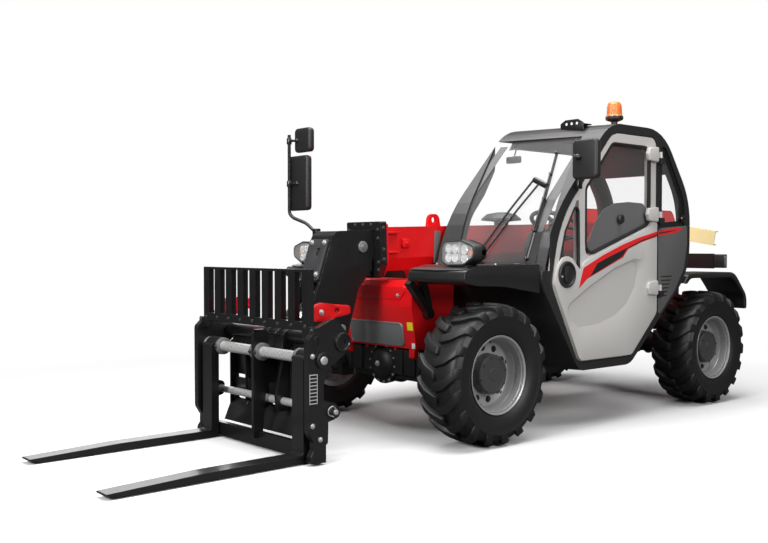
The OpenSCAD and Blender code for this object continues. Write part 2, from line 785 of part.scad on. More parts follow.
module tail_lamps() {
  color("#b52a22") both_sides()
    box([lamp_bar_x[0] - 25, lamp_bar_out, lamp_bar_z[0] + 5],
      [lamp_bar_x[1] - 5, lamp_bar_out + 95, lamp_bar_z[1] - 5]);
}

// Mirrors: one on the left windscreen post, a long and a small one on a stalk at the right
mirror_out = mirror_span / 2;
arm_d = 20;
module mirror_head(x, y0, y1, z0, z1) {
  translate([x, 0, 0]) rotate([90, 0, 90]) linear_extrude(45)
    polygon(rounded([[y0, z0, 25], [y1, z0, 25], [y1, z1, 25], [y0, z1, 25]]));
}
module mirrors() {
  post_x = -690;
  stalk = [40, -790];
  color(black_paint) {
    box([post_x - 40, cab_left, 1490], [post_x, cab_left + 30, 1530]);
    translate([post_x - 20, cab_left + 18, 1500]) cylinder(d = arm_d, h = 170);
    rod_y([post_x - 20, 1660], arm_d, cab_left + 10, mirror_out - 85);
    translate([post_x - 20, mirror_out - 95, 1660]) rotate([0, 90, 0]) cylinder(d = arm_d, h = 80);
    mirror_head(post_x + 10, mirror_out - 185, mirror_out, 1540, 1780);
    translate([stalk[0], stalk[1], cowl_top]) cylinder(d = 24, h = 880);
    translate([stalk[0], stalk[1], cowl_top]) cylinder(d = 60, h = 20);
    mirror_head(stalk[0] + 5, -mirror_out, -mirror_out + 235, 1390, 1775);
    mirror_head(stalk[0] + 5, -mirror_out + 45, -mirror_out + 225, 1790, 1965);
    for (z = [1580, 1880])
      rod_y([stalk[0] + 5, z], arm_d, -mirror_out + 100, stalk[1]);
  }
}

module beacon() {
  color("#e07a1c") translate([beacon_spot[0], beacon_spot[1], roof_z]) {
    cylinder(d = 40, h = 120);
    rotate_extrude() polygon([[0, 105], [62, 105], [62, 125], [54, 130], [50, 200], [36, 222], [0, 226]]);
  }
}

// Boom prop, carried across the back of the tail boxes
prop_h = 110;
prop_lean = 9;
module safety_prop() {
  color(sand_yellow) translate([tail_back_x, 100, 1290]) rotate([-prop_lean, 0, 0])
    difference() {
      translate([-40, -500, -prop_h / 2]) cube([40, 1060, prop_h]);
      translate([-41, -501, -prop_h / 2 + 8]) cube([33, 1062, prop_h - 16]);
    }
}

// Engine hood: top, outer side and ends, open below and towards the boom
hood_in = 200;
hood_front = -500;
hood_back = rear_x + 510;
hood_bottom = tray_z + tray_t + 5;
module hood_shell(d, x0, x1) {
  translate([x0, 0, 0]) rotate([90, 0, 90]) linear_extrude(x1 - x0) polygon(rounded([
    [-hood_side + d, hood_bottom - 2 * d], [-hood_in + 4 * d, hood_bottom - 2 * d],
    [-hood_in + 4 * d, hood_top - d], [-hood_side + d, hood_top - 60 - d, 160 - d]
  ]));
}
intake_spot = [-1480, -450];
module engine_hood() {
  color(red_paint) {
    // Pad under the air intake
    translate([intake_spot[0], intake_spot[1], hood_top - 45]) cylinder(d = 160, h = 45);
    difference() {
      hood_shell(0, hood_back, hood_front);
      hood_shell(hood_t, hood_back + hood_t, hood_front - hood_t);
    }
    for (x = hinge_post_x) difference() {
      union() {
        translate([x + 6, hood_axis[0], hood_axis[1]]) rotate([0, 90, 0]) cylinder(d = 34, h = 50);
        box([x + 6, -hood_in - 30, hood_top - 10], [x + 56, hood_axis[0], hood_top + 14]);
      }
      translate([x + 5, hood_axis[0], hood_axis[1]]) rotate([0, 90, 0])
        cylinder(d = hood_pin_d + 2 * pin_gap, h = 52);
    }
  }
}
module air_intake() {
  color(dark_plastic) translate([intake_spot[0], intake_spot[1], hood_top]) rotate_extrude() polygon([
    [0, 0], [70, 0], [70, 12], [55, 20], [55, 180], [150, 190], [150, 205], [110, 238], [40, 252], [0, 252]
  ]);
}

// Boom sections are hollow, with their lower corners folded in
function boom_section(w, h, fold_w) = [
  [-w / 2, h / 2], [-w / 2, -h * 0.21], [-fold_w / 2, -h / 2], [fold_w / 2, -h / 2], [w / 2, -h * 0.21],
  [w / 2, h / 2]
];
boom_back = -120;
hollow_back = boom_back + 260;
inner_len = head_x - hollow_back - inner_room;
fold_w = boom_w * 0.65;
inner_cut = 2 * (boom_wall + boom_play);
inner_w = boom_w - inner_cut;
inner_h = boom_h - inner_cut;
inner_fold_w = fold_w - inner_cut * 0.6;
module section_x(x0, x1, pts) {
  translate([x0, 0, 0]) rotate([90, 0, 90]) linear_extrude(x1 - x0) polygon(pts);
}
collar_t = 50;
collar_w = 320;
lug_t = 18;
ear_top = -boom_h / 2 + boom_wall / 2;
lug_in = 45;
eye_x = 2128;
module boom_outer() {
  color(red_paint) difference() {
    union() {
      boom_axes() difference() {
        section_x(boom_back, boom_len - collar_t, boom_section(boom_w, boom_h, fold_w));
        section_x(hollow_back, boom_len, boom_section(
          boom_w - 2 * boom_wall, boom_h - 2 * boom_wall, fold_w - 1.2 * boom_wall));
      }
      // Ears for the lift cylinder
      boom_axes() both_sides() across(lug_in, lug_in + lug_t) polygon(rounded([
        [lift_eye_x - 60, ear_top], [lift_eye_x - 55, -lift_eye_drop - 50, 50],
        [lift_eye_x + 55, -lift_eye_drop - 50, 50], [lift_eye_x + 150, ear_top]
      ]));
      // Lifting eye
      boom_axes() across(-10, 10) polygon(rounded([
        [eye_x - 60, boom_h / 2 - 4], [eye_x + 60, boom_h / 2 - 4], [eye_x + 45, boom_h / 2 + 80, 40],
        [eye_x - 45, boom_h / 2 + 80, 40]
      ]));
    }
    boom_axes() rod_y([0, 0], pivot_pin_d + 2 * pin_gap, -boom_w, boom_w);
    rod_y(lift_eye, lift_pin_d + 2, -boom_w, boom_w);
    boom_axes() rod_y([eye_x, boom_h / 2 + 42], 40, -20, 20);
  }
}
module boom_collar() {
  color(black_paint) boom_axes() difference() {
    section_x(boom_len - collar_t, boom_len, rounded([
      [collar_w / 2, 170, 12], [-collar_w / 2, 170, 12], [-collar_w / 2, -90, 12],
      [-collar_w / 2 + 40, -173, 20], [collar_w / 2 - 40, -173, 20], [collar_w / 2, -90, 12]
    ]));
    section_x(boom_len - collar_t - 1, boom_len + 1, boom_section(
      inner_w + 2 * seat_gap, inner_h + 2 * seat_gap, inner_fold_w + 2 * seat_gap));
  }
}
module boom_inner() {
  color(black_paint) boom_axes() {
    difference() {
      section_x(head_x - inner_len, head_x, boom_section(inner_w, inner_h, inner_fold_w));
      section_x(head_x - inner_len - 1, head_x - 30, boom_section(
        inner_w - 2 * boom_wall, inner_h - 2 * boom_wall, inner_fold_w - 1.2 * boom_wall));
    }
    // Slide pads at the back end
    pad_w = inner_w + 2 * boom_play - 2 * seat_gap;
    for (s = [-1, 1])
      box([head_x - inner_len, min(s * inner_w / 2, s * pad_w / 2), 0],
        [head_x - inner_len + 160, max(s * inner_w / 2, s * pad_w / 2), 80]);
    pad_h = boom_play - seat_gap;
    for (z = [inner_h / 2, -inner_h / 2 - pad_h])
      box([head_x - inner_len, -inner_fold_w / 2, z],
        [head_x - inner_len + 160, inner_fold_w / 2, z + pad_h]);
  }
}

// Head: two side plates with a back, top and front plate, and bores for the carriage and cylinder pins
head_side = [
  [0, -inner_h / 2], [107, -226, 60], [191, -470, 200], [head_reach - 300, -head_drop + 145, 60],
  [head_reach - 70, -head_drop - 60, 70], [head_reach + 70, -head_drop - 50, 60],
  [head_reach + 55, -head_drop + 120, 40], [400, -180, 300], [300, 90, 40], [256, inner_h / 2, 30],
  [0, inner_h / 2]
];
head_hollow = [
  [22, -250], [300, -head_drop - 300], [head_reach + 400, -head_drop - 300], [head_reach + 400, -180],
  [364, -180], [356, -140, 30], [280, 80, 30], [250, inner_h / 2 - 20, 10], [22, inner_h / 2 - 20]
];
module boom_head() {
  color(black_paint) difference() {
    boom_axes() translate([head_x, 0, 0]) difference() {
      across(-head_w / 2, head_w / 2) polygon(rounded(head_side));
      across(-head_w / 2 + head_plate_t, head_w / 2 - head_plate_t) polygon(rounded(head_hollow));
    }
    rod_y(tilt_pin, carriage_pin_d + 2 * pin_gap, -head_w, head_w);
  }
  color(black_paint) rod_y(tilt_base, tilt_pin_d, -head_w / 2 + 1, head_w / 2 - 1);
}

// Cylinders: the barrel turns on its base pin and the rod slides out of it
lift_gland = lift_len - 112;
rod_tail = 87;
eye_half = 40;
module cylinder_barrel(length, d, pin_d, bore_d, half) {
  difference() {
    union() {
      rod_y([0, 0], pin_d + 34, -half, half);
      translate([pin_d / 2, 0, 0]) rotate([0, 90, 0]) cylinder(d = d, h = length - pin_d / 2);
    }
    rod_y([0, 0], pin_d + 2 * pin_gap, -half - 60, half + 60);
    translate([pin_d / 2 + 14, 0, 0]) rotate([0, 90, 0]) cylinder(d = bore_d, h = length);
  }
}
module cylinder_rod(length, d, eye_d, half) {
  translate([rod_tail, 0, 0]) rotate([0, 90, 0]) cylinder(d = d, h = length - rod_tail);
  rod_y([length, 0], eye_d, -half, half);
}
module lift_barrel() {
  color(black_paint) pin_axes(lift_base, lift_angle)
    cylinder_barrel(lift_gland, lift_barrel_d, lift_pin_d, lift_rod_d + 1, 55);
}
module lift_rod() {
  color(bright_steel) pin_axes(lift_base, lift_angle)
    cylinder_rod(lift_len, lift_rod_d, lift_rod_d + 30, eye_half);
}
tilt_gland = tilt_len - 94;
tilt_half = 32;
module tilt_barrel() {
  color(black_paint) pin_axes(tilt_base, tilt_angle)
    cylinder_barrel(tilt_gland, tilt_barrel_d, tilt_pin_d, tilt_rod_d + 1, tilt_half);
}
module tilt_rod() {
  color(bright_steel) pin_axes(tilt_base, tilt_angle)
    cylinder_rod(tilt_len, tilt_rod_d, tilt_rod_d + 30, tilt_half);
}

// Hitch frame: plates beside the head, on the carriage pin, that hold the fork frame's tube and shaft
module carriage_axes() {
  translate([tilt_pin[0], 0, tilt_pin[1]]) children();
}
hitch_side = [
  [-70, -70, 60], [120, -210, 30], [215, -205, 30], [225, -110, 30], [185, 60, 40], [175, 230, 40],
  [95, 275, 40], [40, 200, 60], [-70, 60, 60]
];
ear_in = tilt_half + side_gap;
ear_t = 16;
module hitch_frame() {
  color(black_paint) carriage_axes() difference() {
    union() {
      both_sides() across(hitch_in, hitch_in + hitch_plate_t) polygon(rounded(hitch_side));
      // Ears for the tilt cylinder, on a cross plate between the hitch plates
      both_sides() across(ear_in, ear_in + ear_t) polygon(rounded([
        [-30, 225, 40], [70, 205, 20], [175, 120], [185, 225, 10], [65, 305, 40], [-25, 305, 40]
      ]));
      across(-hitch_in - 1, hitch_in + 1) polygon([[158, 120], [180, 120], [176, 225], [154, 225]]);
      rod_y([0, 0], carriage_pin_d, -hitch_in - hitch_plate_t, hitch_in + hitch_plate_t);
    }
    rod_y(hitch_tube, hitch_tube_d + 2 * seat_gap, -head_w, head_w);
    rod_y(lower_shaft, lower_shaft_d + 2 * seat_gap, -head_w, head_w);
    rod_y(tilt_eye - tilt_pin, tilt_pin_d + 2, -head_w, head_w);
  }
}

// Fork frame: side plates, a middle plate, cross bars and the load guard
plate_outline = [
  [213, -320, 15], [300, -302, 30], [336, -243, 30], [337, 238, 30], [276, plate_top, 30], [159, 345, 40],
  [70, 237, 30], [91, 152, 40], [199, 85, 40], [240, 0, 40], [240, -85, 20], [150, -110, 30], [150, -185, 30],
  [210, -200]
];
mid_plate = [[240, -360], [300, -360], [300, 250, 20], [200, 250, 30], [200, 40, 30]];
guard_half = carriage_w / 2 - 50;
bottom_bar = [225, 262, -408, -330];
module fork_frame() {
  color(black_paint) carriage_axes() difference() {
    union() {
      both_sides() across(carriage_w / 2 - plate_t, carriage_w / 2) polygon(rounded(plate_outline));
      across(-10, 10) polygon(rounded(mid_plate));
      rod_y(hitch_tube, hitch_tube_d, -carriage_w / 2, carriage_w / 2);
      both_sides() box([bottom_bar[0], 0, bottom_bar[2]], [bottom_bar[1], carriage_w / 2, bottom_bar[3]]);
      both_sides() box([bottom_bar[0], carriage_w / 2 - plate_t, bottom_bar[2]],
        [bottom_bar[1] + 40, carriage_w / 2, -280]);
      // Load guard
      for (i = [0:guard_bars - 1]) {
        y = -guard_half + guard_bar_w / 2 + i * (2 * guard_half - guard_bar_w) / (guard_bars - 1);
        box([guard_back, y - guard_bar_w / 2, plate_top - 20],
          [guard_back + guard_bar_t, y + guard_bar_w / 2, plate_top + guard_h]);
      }
      box([guard_back, -guard_half, plate_top - 20], [guard_back + guard_bar_t, guard_half, plate_top + 25]);
      box([guard_back, -guard_half, plate_top + guard_h - guard_top_t],
        [guard_back + guard_bar_t, guard_half, plate_top + guard_h]);
      both_sides() box([guard_back, guard_half - guard_bar_w, plate_top - 60],
        [guard_back + guard_bar_t, carriage_w / 2, plate_top]);
    }
    rod_y(fork_shaft, fork_shaft_d + 2 * seat_gap, -carriage_w, carriage_w);
    rod_y(lower_shaft, lower_shaft_d + 2 * seat_gap, -carriage_w, carriage_w);
  }
}
module fork_shafts() {
  collar_r = fork_shaft_d / 2 + 16;
  collar_step = 12;
  color(bright_steel) carriage_axes() {
    rod_y(fork_shaft, fork_shaft_d, -carriage_w / 2 - 8, carriage_w / 2 + 8);
    rod_y(lower_shaft, lower_shaft_d, -carriage_w / 2 - 8, carriage_w / 2 + 8);
    both_sides() {
      rod_y(fork_shaft, 2 * collar_r, carriage_w / 2 - plate_t - collar_step,
        carriage_w / 2 - plate_t - seat_gap);
      rod_y(fork_shaft, 2 * collar_r, 10 + seat_gap, 10 + collar_step);
    }
  }
}
lever_spots = [[485, 515], [-405, -375]];
module latch_levers() {
  color(red_paint) carriage_axes() for (y = lever_spots)
    across(y[0], y[1]) polygon(rounded([
      [guard_back, 320], [guard_back, 395], [120, 420, 30], [0, 405, 30], [0, 350, 25], [150, 340, 40]
    ]));
}

// Fork: an eye on the shaft, a shank and a tapered blade
module fork(y) {
  color(black_paint) carriage_axes() difference() {
    union() {
      across(y - fork_w / 2, y + fork_w / 2) polygon(rounded([
        [fork_face - shank_t, fork_bottom, 20], [fork_face + fork_len - 60, fork_bottom],
        [fork_face + fork_len, fork_bottom + 12, 5], [fork_face + fork_len, fork_bottom + 22, 5],
        [fork_face + fork_len - 500, fork_bottom + fork_t], [fork_face, fork_bottom + fork_t, 20],
        [fork_face, fork_shaft[1] + 20, 20], [fork_face - shank_t, fork_shaft[1] + 20]
      ]));
      rod_y(fork_shaft, fork_eye_d, y - fork_w / 2, y + fork_w / 2);
    }
    rod_y(fork_shaft, fork_shaft_d + 2 * pin_gap, y - fork_w, y + fork_w);
  }
}
module fork_left() {
  fork(fork_spread / 2);
}
module fork_right() {
  fork(-fork_spread / 2);
}

module right_side() {
  mirror([0, 1, 0]) children();
}

place() chassis_frame();
place() nose();
place() engine_block();
place() front_axle();
place() rear_axle();
place() cab_frame();
place() cab_glass();
place() seat();
place() steering();
place() dashboard();
place() front_cowls();
place() headlamps();
place() front_brackets();
place() rear_fenders();
place() tail_weight();
place() tail_lamps();
place() mirrors();
place() beacon();
place() safety_prop();
place() door_panel();
place() door_glass();
place() engine_hood();
place() air_intake();
place() boom_outer();
place() boom_collar();
place() boom_inner();
place() boom_head();
place() lift_barrel();
place() lift_rod();
place() tilt_barrel();
place() tilt_rod();
place() hitch_frame();
place() fork_frame();
place() fork_shafts();
place() latch_levers();
place() fork_left();
place() fork_right();
place() knuckle(0);  // knuckle_front_left
place() right_side() knuckle(0);  // knuckle_front_right
place() knuckle(rear_x);  // knuckle_rear_left
place() right_side() knuckle(rear_x);  // knuckle_rear_right
place() tyre(0);  // tyre_front_left
place() right_side() tyre(0);  // tyre_front_right
place() tyre(rear_x);  // tyre_rear_left
place() right_side() tyre(rear_x);  // tyre_rear_right
place() wheel(0);  // wheel_front_left
place() right_side() wheel(0);  // wheel_front_right
place() wheel(rear_x);  // wheel_rear_left
place() right_side() wheel(rear_x);  // wheel_rear_right
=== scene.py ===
import json
import math
import bpy
from mathutils import Matrix, Vector


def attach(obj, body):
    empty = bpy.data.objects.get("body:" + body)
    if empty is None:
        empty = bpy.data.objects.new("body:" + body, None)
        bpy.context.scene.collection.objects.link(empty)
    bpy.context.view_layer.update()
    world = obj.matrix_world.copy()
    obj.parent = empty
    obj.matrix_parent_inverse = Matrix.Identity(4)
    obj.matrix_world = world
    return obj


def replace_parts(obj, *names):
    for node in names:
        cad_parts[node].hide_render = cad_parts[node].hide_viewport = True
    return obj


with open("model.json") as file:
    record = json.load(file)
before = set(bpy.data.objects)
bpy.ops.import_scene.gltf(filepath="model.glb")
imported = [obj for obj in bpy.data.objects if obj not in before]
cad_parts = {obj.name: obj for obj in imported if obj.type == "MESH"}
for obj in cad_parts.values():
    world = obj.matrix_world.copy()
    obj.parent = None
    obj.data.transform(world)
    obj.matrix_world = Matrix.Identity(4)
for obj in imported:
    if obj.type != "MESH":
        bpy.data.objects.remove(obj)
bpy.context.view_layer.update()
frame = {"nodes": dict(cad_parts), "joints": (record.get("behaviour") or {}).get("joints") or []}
nodes = frame["nodes"]
jointPlace = {j["name"]: j for j in frame["joints"]}
axleX = Vector(jointPlace["roll_front_left"]["pos_m"]).x
print("frame loaded:", len(nodes), "nodes")


# small helpers, used by every piece below

def closeMesh():
    bpy.ops.object.mode_set(mode="OBJECT")


def clearAll():
    if bpy.context.object and bpy.context.object.mode != "OBJECT":
        closeMesh()
    bpy.ops.object.select_all(action="DESELECT")


def pickOnly(piece):
    clearAll()
    piece.select_set(True)
    bpy.context.view_layer.objects.active = piece


def openMesh(piece):
    pickOnly(piece)
    bpy.ops.object.mode_set(mode="EDIT")
    bpy.ops.mesh.select_all(action="SELECT")


def applyModifiers(piece):
    pickOnly(piece)
    for mod in list(piece.modifiers):
        bpy.ops.object.modifier_apply(modifier=mod.name)


def bevelEdges(piece, width, segments=2, angle=30):
    mod = piece.modifiers.new("bevel", "BEVEL")
    mod.width = width
    mod.segments = segments
    mod.limit_method = "ANGLE"
    mod.angle_limit = math.radians(angle)
    applyModifiers(piece)
    return piece


def fixNormals(piece):
    openMesh(piece)
    bpy.ops.mesh.remove_doubles(threshold=0.00002)
    bpy.ops.mesh.normals_make_consistent(inside=False)
    closeMesh()
    return piece


def joinAll(pieces, name):
    clearAll()
    for piece in pieces:
        piece.select_set(True)
    bpy.context.view_layer.objects.active = pieces[0]
    if len(pieces) > 1:
        bpy.ops.object.join()
    pieces[0].name = name
    return pieces[0]


def copyPiece(piece, matrix=None):
    twin = piece.copy()
    twin.data = piece.data.copy()
    bpy.context.scene.collection.objects.link(twin)
    if matrix is not None:
        twin.data.transform(matrix)
        if matrix.determinant() < 0:
            twin.data.flip_normals()
    return twin


def paint(piece, *materials):
    piece.data.materials.clear()
    for material in materials:
        piece.data.materials.append(material)
    return piece


def settle(piece, name, body, material=None, smooth=35):
    pickOnly(piece)
    bpy.ops.object.transform_apply(location=True, rotation=True, scale=True)
    bpy.ops.object.shade_smooth_by_angle(angle=math.radians(smooth))
    piece.name = name
    piece.data.name = name
    if material is not None:
        paint(piece, material)
    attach(piece, body)
    return piece


# joins parts into one finished piece
def gather(parts, name, body, material=None, smooth=35):
    return settle(joinAll(parts, name), name, body, material, smooth)


def boxPiece(low, high, bevel=0.0, segments=2):
    low, high = Vector(low), Vector(high)
    clearAll()
    bpy.ops.mesh.primitive_cube_add(size=1, location=(low + high) / 2)
    piece = bpy.context.object
    piece.scale = high - low
    bpy.ops.object.transform_apply(location=True, rotation=True, scale=True)
    if bevel:
        bevelEdges(piece, bevel, segments)
    return piece


def rodPiece(start, end, radius, sides=24, bevel=0.0, endRadius=None):
    start, end = Vector(start), Vector(end)
    run = end - start
    clearAll()
    far = radius if endRadius is None else endRadius
    bpy.ops.mesh.primitive_cone_add(vertices=sides, radius1=radius, radius2=far, depth=run.length)
    piece = bpy.context.object
    turn = run.to_track_quat("Z", "Y").to_matrix().to_4x4()
    piece.data.transform(Matrix.Translation((start + end) / 2) @ turn)
    if bevel:
        bevelEdges(piece, bevel, 2, 40)
    return piece


# a plate from an outline: the outline's own plane is given by two directions
def platePiece(outline, origin, right, up, thick, bevel=0.0, segments=2):
    origin, right, up = Vector(origin), Vector(right), Vector(up)
    out = right.cross(up).normalized()
    clearAll()
    bpy.ops.mesh.primitive_circle_add(vertices=len(outline), fill_type="NGON")
    piece = bpy.context.object
    for vert, (a, b) in zip(piece.data.vertices, outline):
        vert.co = origin + right * a + up * b
    openMesh(piece)
    bpy.ops.mesh.extrude_region_move(TRANSFORM_OT_translate={"value": out * thick})
    bpy.ops.mesh.select_all(action="SELECT")
    bpy.ops.mesh.normals_make_consistent(inside=False)
    closeMesh()
    if bevel:
        bevelEdges(piece, bevel, segments, 30)
    return piece


# a closed profile of (radius, along) pairs, spun about an axis through centre
def spunPiece(profile, centre, axis, steps=64):
    centre, axis = Vector(centre), Vector(axis).normalized()
    side = axis.orthogonal().normalized()
    clearAll()
    bpy.ops.mesh.primitive_circle_add(vertices=len(profile), fill_type="NOTHING")
    piece = bpy.context.object
    for vert, (radius, along) in zip(piece.data.vertices, profile):
        vert.co = centre + side * radius + axis * along
    openMesh(piece)
    bpy.ops.mesh.spin(steps=steps, angle=2 * math.pi, center=centre, axis=axis)
    closeMesh()
    return fixNormals(piece)


def roundCorners(points, radius, steps=5):
    out = []
    for i, p in enumerate(points):
        p = Vector(p)
        a = (Vector(points[i - 1]) - p)
        b = (Vector(points[(i + 1) % len(points)]) - p)
        half = a.angle(b) / 2
        reach = min(radius / math.tan(half), 0.48 * a.length, 0.48 * b.length)
        r = reach * math.tan(half)
        a.normalize()
        b.normalize()
        mid = p + (a + b).normalized() * r / math.sin(half)
        start = p + a * reach - mid
        sweep = (math.pi - 2 * half) * (1 if a.x * b.y - a.y * b.x < 0 else -1)
        for k in range(steps + 1):
            t = sweep * k / steps
            out.append((mid.x + start.x * math.cos(t) - start.y * math.sin(t),
                        mid.y + start.x * math.sin(t) + start.y * math.cos(t)))
    return out


# hexagon bolts with a washer: one is modelled, then copied to each place
boltSettings = {"washer": 1.55, "thick": 0.25, "height": 0.75, "inset": 0.14, "dome": 0.18}


def boltSet(places, axis, radius):
    thick, height = boltSettings["thick"], boltSettings["height"]
    washer = rodPiece((0, 0, 0), (0, 0, radius * thick), radius * boltSettings["washer"], 20)
    clearAll()
    bpy.ops.mesh.primitive_cylinder_add(vertices=6, radius=radius, depth=radius * height,
                                        location=(0, 0, radius * (thick + height / 2)))
    head = bpy.context.object
    bpy.ops.object.mode_set(mode="EDIT")
    bpy.ops.mesh.select_all(action="DESELECT")
    closeMesh()
    for face in head.data.polygons:
        face.select = face.normal.z > 0.9
    bpy.ops.object.mode_set(mode="EDIT")
    bpy.ops.mesh.inset(thickness=radius * boltSettings["inset"], depth=radius * boltSettings["dome"])
    closeMesh()
    bpy.ops.object.transform_apply(location=True, rotation=True, scale=True)
    one = joinAll([washer, head], "bolt")
    turn = Vector(axis).to_track_quat("Z", "Y").to_matrix().to_4x4()
    copies = [copyPiece(one, Matrix.Translation(Vector(place)) @ turn) for place in places]
    bpy.data.objects.remove(one)
    return joinAll(copies, "bolts")


def ring(centre, axis, radius, count, start=0.0):
    centre, axis = Vector(centre), Vector(axis).normalized()
    side = axis.orthogonal().normalized()
    other = axis.cross(side)
    turns = [start + 2 * math.pi * k / count for k in range(count)]
    return [centre + side * radius * math.cos(t) + other * radius * math.sin(t) for t in turns]


# shader nodes, and one group that every painted or moulded finish shares

def newGroup(name, inputs, outputs):
    group = bpy.data.node_groups.new(name, "ShaderNodeTree")
    for socket, kind, value in inputs:
        made = group.interface.new_socket(socket, in_out="INPUT", socket_type=kind)
        if value is not None:
            made.default_value = value
    for socket, kind in outputs:
        group.interface.new_socket(socket, in_out="OUTPUT", socket_type=kind)
    return group, group.nodes.new("NodeGroupInput"), group.nodes.new("NodeGroupOutput")


def mixColor(tree, blend="MIX"):
    node = tree.nodes.new("ShaderNodeMix")
    node.data_type = "RGBA"
    node.blend_type = blend
    return node.inputs[0], node.inputs[6], node.inputs[7], node.outputs[2]


def mathNode(tree, kind, first, second, clamp=False):
    node = tree.nodes.new("ShaderNodeMath")
    node.operation = kind
    node.use_clamp = clamp
    for socket, value in zip(node.inputs, (first, second)):
        if isinstance(value, (int, float)):
            socket.default_value = value
        else:
            tree.links.new(value, socket)
    return node.outputs[0]


def noiseNode(tree, coords, scale, detail=3, rough=0.55):
    node = tree.nodes.new("ShaderNodeTexNoise")
    node.inputs["Scale"].default_value = scale
    node.inputs["Detail"].default_value = detail
    node.inputs["Roughness"].default_value = rough
    tree.links.new(coords, node.inputs["Vector"])
    return node.outputs["Fac"]


filmSettings = {
    "inputs": [("Color", "NodeSocketColor", (0.5, 0.5, 0.5, 1)), ("Drift", "NodeSocketFloat", 0.1),
               ("Dust", "NodeSocketFloat", 0.15), ("Roughness", "NodeSocketFloat", 0.35),
               ("Grain", "NodeSocketFloat", 400.0), ("Bump", "NodeSocketFloat", 0.05),
               ("Edge", "NodeSocketFloat", 0.003)],
    "outputs": [("Color", "NodeSocketColor"), ("Roughness", "NodeSocketFloat"),
                ("Normal", "NodeSocketVector")],
    "slowScale": 2.2, "patchScale": 14.0, "patchRough": 0.65,
    "upShare": 0.8, "sideShare": 0.12, "dustColor": (0.32, 0.29, 0.25, 1),
    "roughSpread": 0.12, "dustRough": 0.5, "bumpDepth": 0.002,
}


# rounded edges with a fine bump on top
def filmNormal(group, given, coords):
    links = group.links
    edge = group.nodes.new("ShaderNodeBevel")
    edge.samples = 3
    links.new(given.outputs["Edge"], edge.inputs["Radius"])
    fine = group.nodes.new("ShaderNodeTexNoise")
    fine.inputs["Detail"].default_value = 2
    links.new(coords, fine.inputs["Vector"])
    links.new(given.outputs["Grain"], fine.inputs["Scale"])
    bump = group.nodes.new("ShaderNodeBump")
    bump.inputs["Distance"].default_value = filmSettings["bumpDepth"]
    links.new(given.outputs["Bump"], bump.inputs["Strength"])
    links.new(fine.outputs["Fac"], bump.inputs["Height"])
    links.new(edge.outputs["Normal"], bump.inputs["Normal"])
    return bump.outputs["Normal"]


# surface film: slow colour drift, settled dust on upward faces, rounded edges and fine bump
def makeSurfaceGroup():
    group, given, result = newGroup("surfaceFilm", filmSettings["inputs"], filmSettings["outputs"])
    links = group.links
    coords = group.nodes.new("ShaderNodeTexCoord").outputs["Object"]
    slow = noiseNode(group, coords, filmSettings["slowScale"], 4)
    patch = noiseNode(group, coords, filmSettings["patchScale"], 5, filmSettings["patchRough"])
    shade = mathNode(group, "MULTIPLY_ADD", mathNode(group, "SUBTRACT", slow, 0.5), given.outputs["Drift"])
    shade.node.inputs[2].default_value = 1.0
    fac, first, second, tinted = mixColor(group, "MULTIPLY")
    fac.default_value = 1.0
    links.new(given.outputs["Color"], first)
    grey = group.nodes.new("ShaderNodeCombineColor")
    for socket in grey.inputs:
        links.new(shade, socket)
    links.new(grey.outputs[0], second)
    # dust lies where the face looks up, broken by the patches
    normal = group.nodes.new("ShaderNodeNewGeometry").outputs["Normal"]
    parts = group.nodes.new("ShaderNodeSeparateXYZ")
    links.new(normal, parts.inputs[0])
    up = mathNode(group, "MULTIPLY", parts.outputs["Z"], filmSettings["upShare"], True)
    up = mathNode(group, "ADD", up, filmSettings["sideShare"])
    dust = mathNode(group, "MULTIPLY", mathNode(group, "MULTIPLY", up, patch), given.outputs["Dust"], True)
    fac, first, second, dusted = mixColor(group)
    links.new(dust, fac)
    links.new(tinted, first)
    second.default_value = filmSettings["dustColor"]
    links.new(dusted, result.inputs["Color"])
    spread = mathNode(group, "SUBTRACT", patch, 0.5)
    spread = mathNode(group, "MULTIPLY", spread, filmSettings["roughSpread"])
    rough = mathNode(group, "ADD", given.outputs["Roughness"], spread)
    dull = mathNode(group, "MULTIPLY", dust, filmSettings["dustRough"])
    rough = mathNode(group, "ADD", rough, dull, True)
    links.new(rough, result.inputs["Roughness"])
    links.new(filmNormal(group, given, coords), result.inputs["Normal"])
    return group


surfaceFilm = makeSurfaceGroup()


def makeMaterial(name, color, metallic=0.0, coat=0.0, rough=0.35, drift=0.12, dust=0.12,
                 grain=400.0, bump=0.05, edge=0.003, **extra):
    material = bpy.data.materials.new(name)
    material.use_nodes = True
    tree = material.node_tree
    shader = tree.nodes["Principled BSDF"]
    film = tree.nodes.new("ShaderNodeGroup")
    film.node_tree = surfaceFilm
    film.inputs["Color"].default_value = (*color, 1)
    for socket, value in (("Drift", drift), ("Dust", dust), ("Roughness", rough),
                          ("Grain", grain), ("Bump", bump), ("Edge", edge)):
        film.inputs[socket].default_value = value
    tree.links.new(film.outputs["Color"], shader.inputs["Base Color"])
    tree.links.new(film.outputs["Roughness"], shader.inputs["Roughness"])
    tree.links.new(film.outputs["Normal"], shader.inputs["Normal"])
    shader.inputs["Metallic"].default_value = metallic
    shader.inputs["Coat Weight"].default_value = coat
    shader.inputs["Coat Roughness"].default_value = 0.08
    for socket, value in extra.items():
        shader.inputs[socket.replace("_", " ")].default_value = value
    return material


def makeGlass(name, color, alpha, rough=0.04):
    material = bpy.data.materials.new(name)
    material.use_nodes = True
    shader = material.node_tree.nodes["Principled BSDF"]
    shader.inputs["Base Color"].default_value = (*color, 1)
    shader.inputs["Roughness"].default_value = rough
    shader.inputs["Alpha"].default_value = alpha
    return material


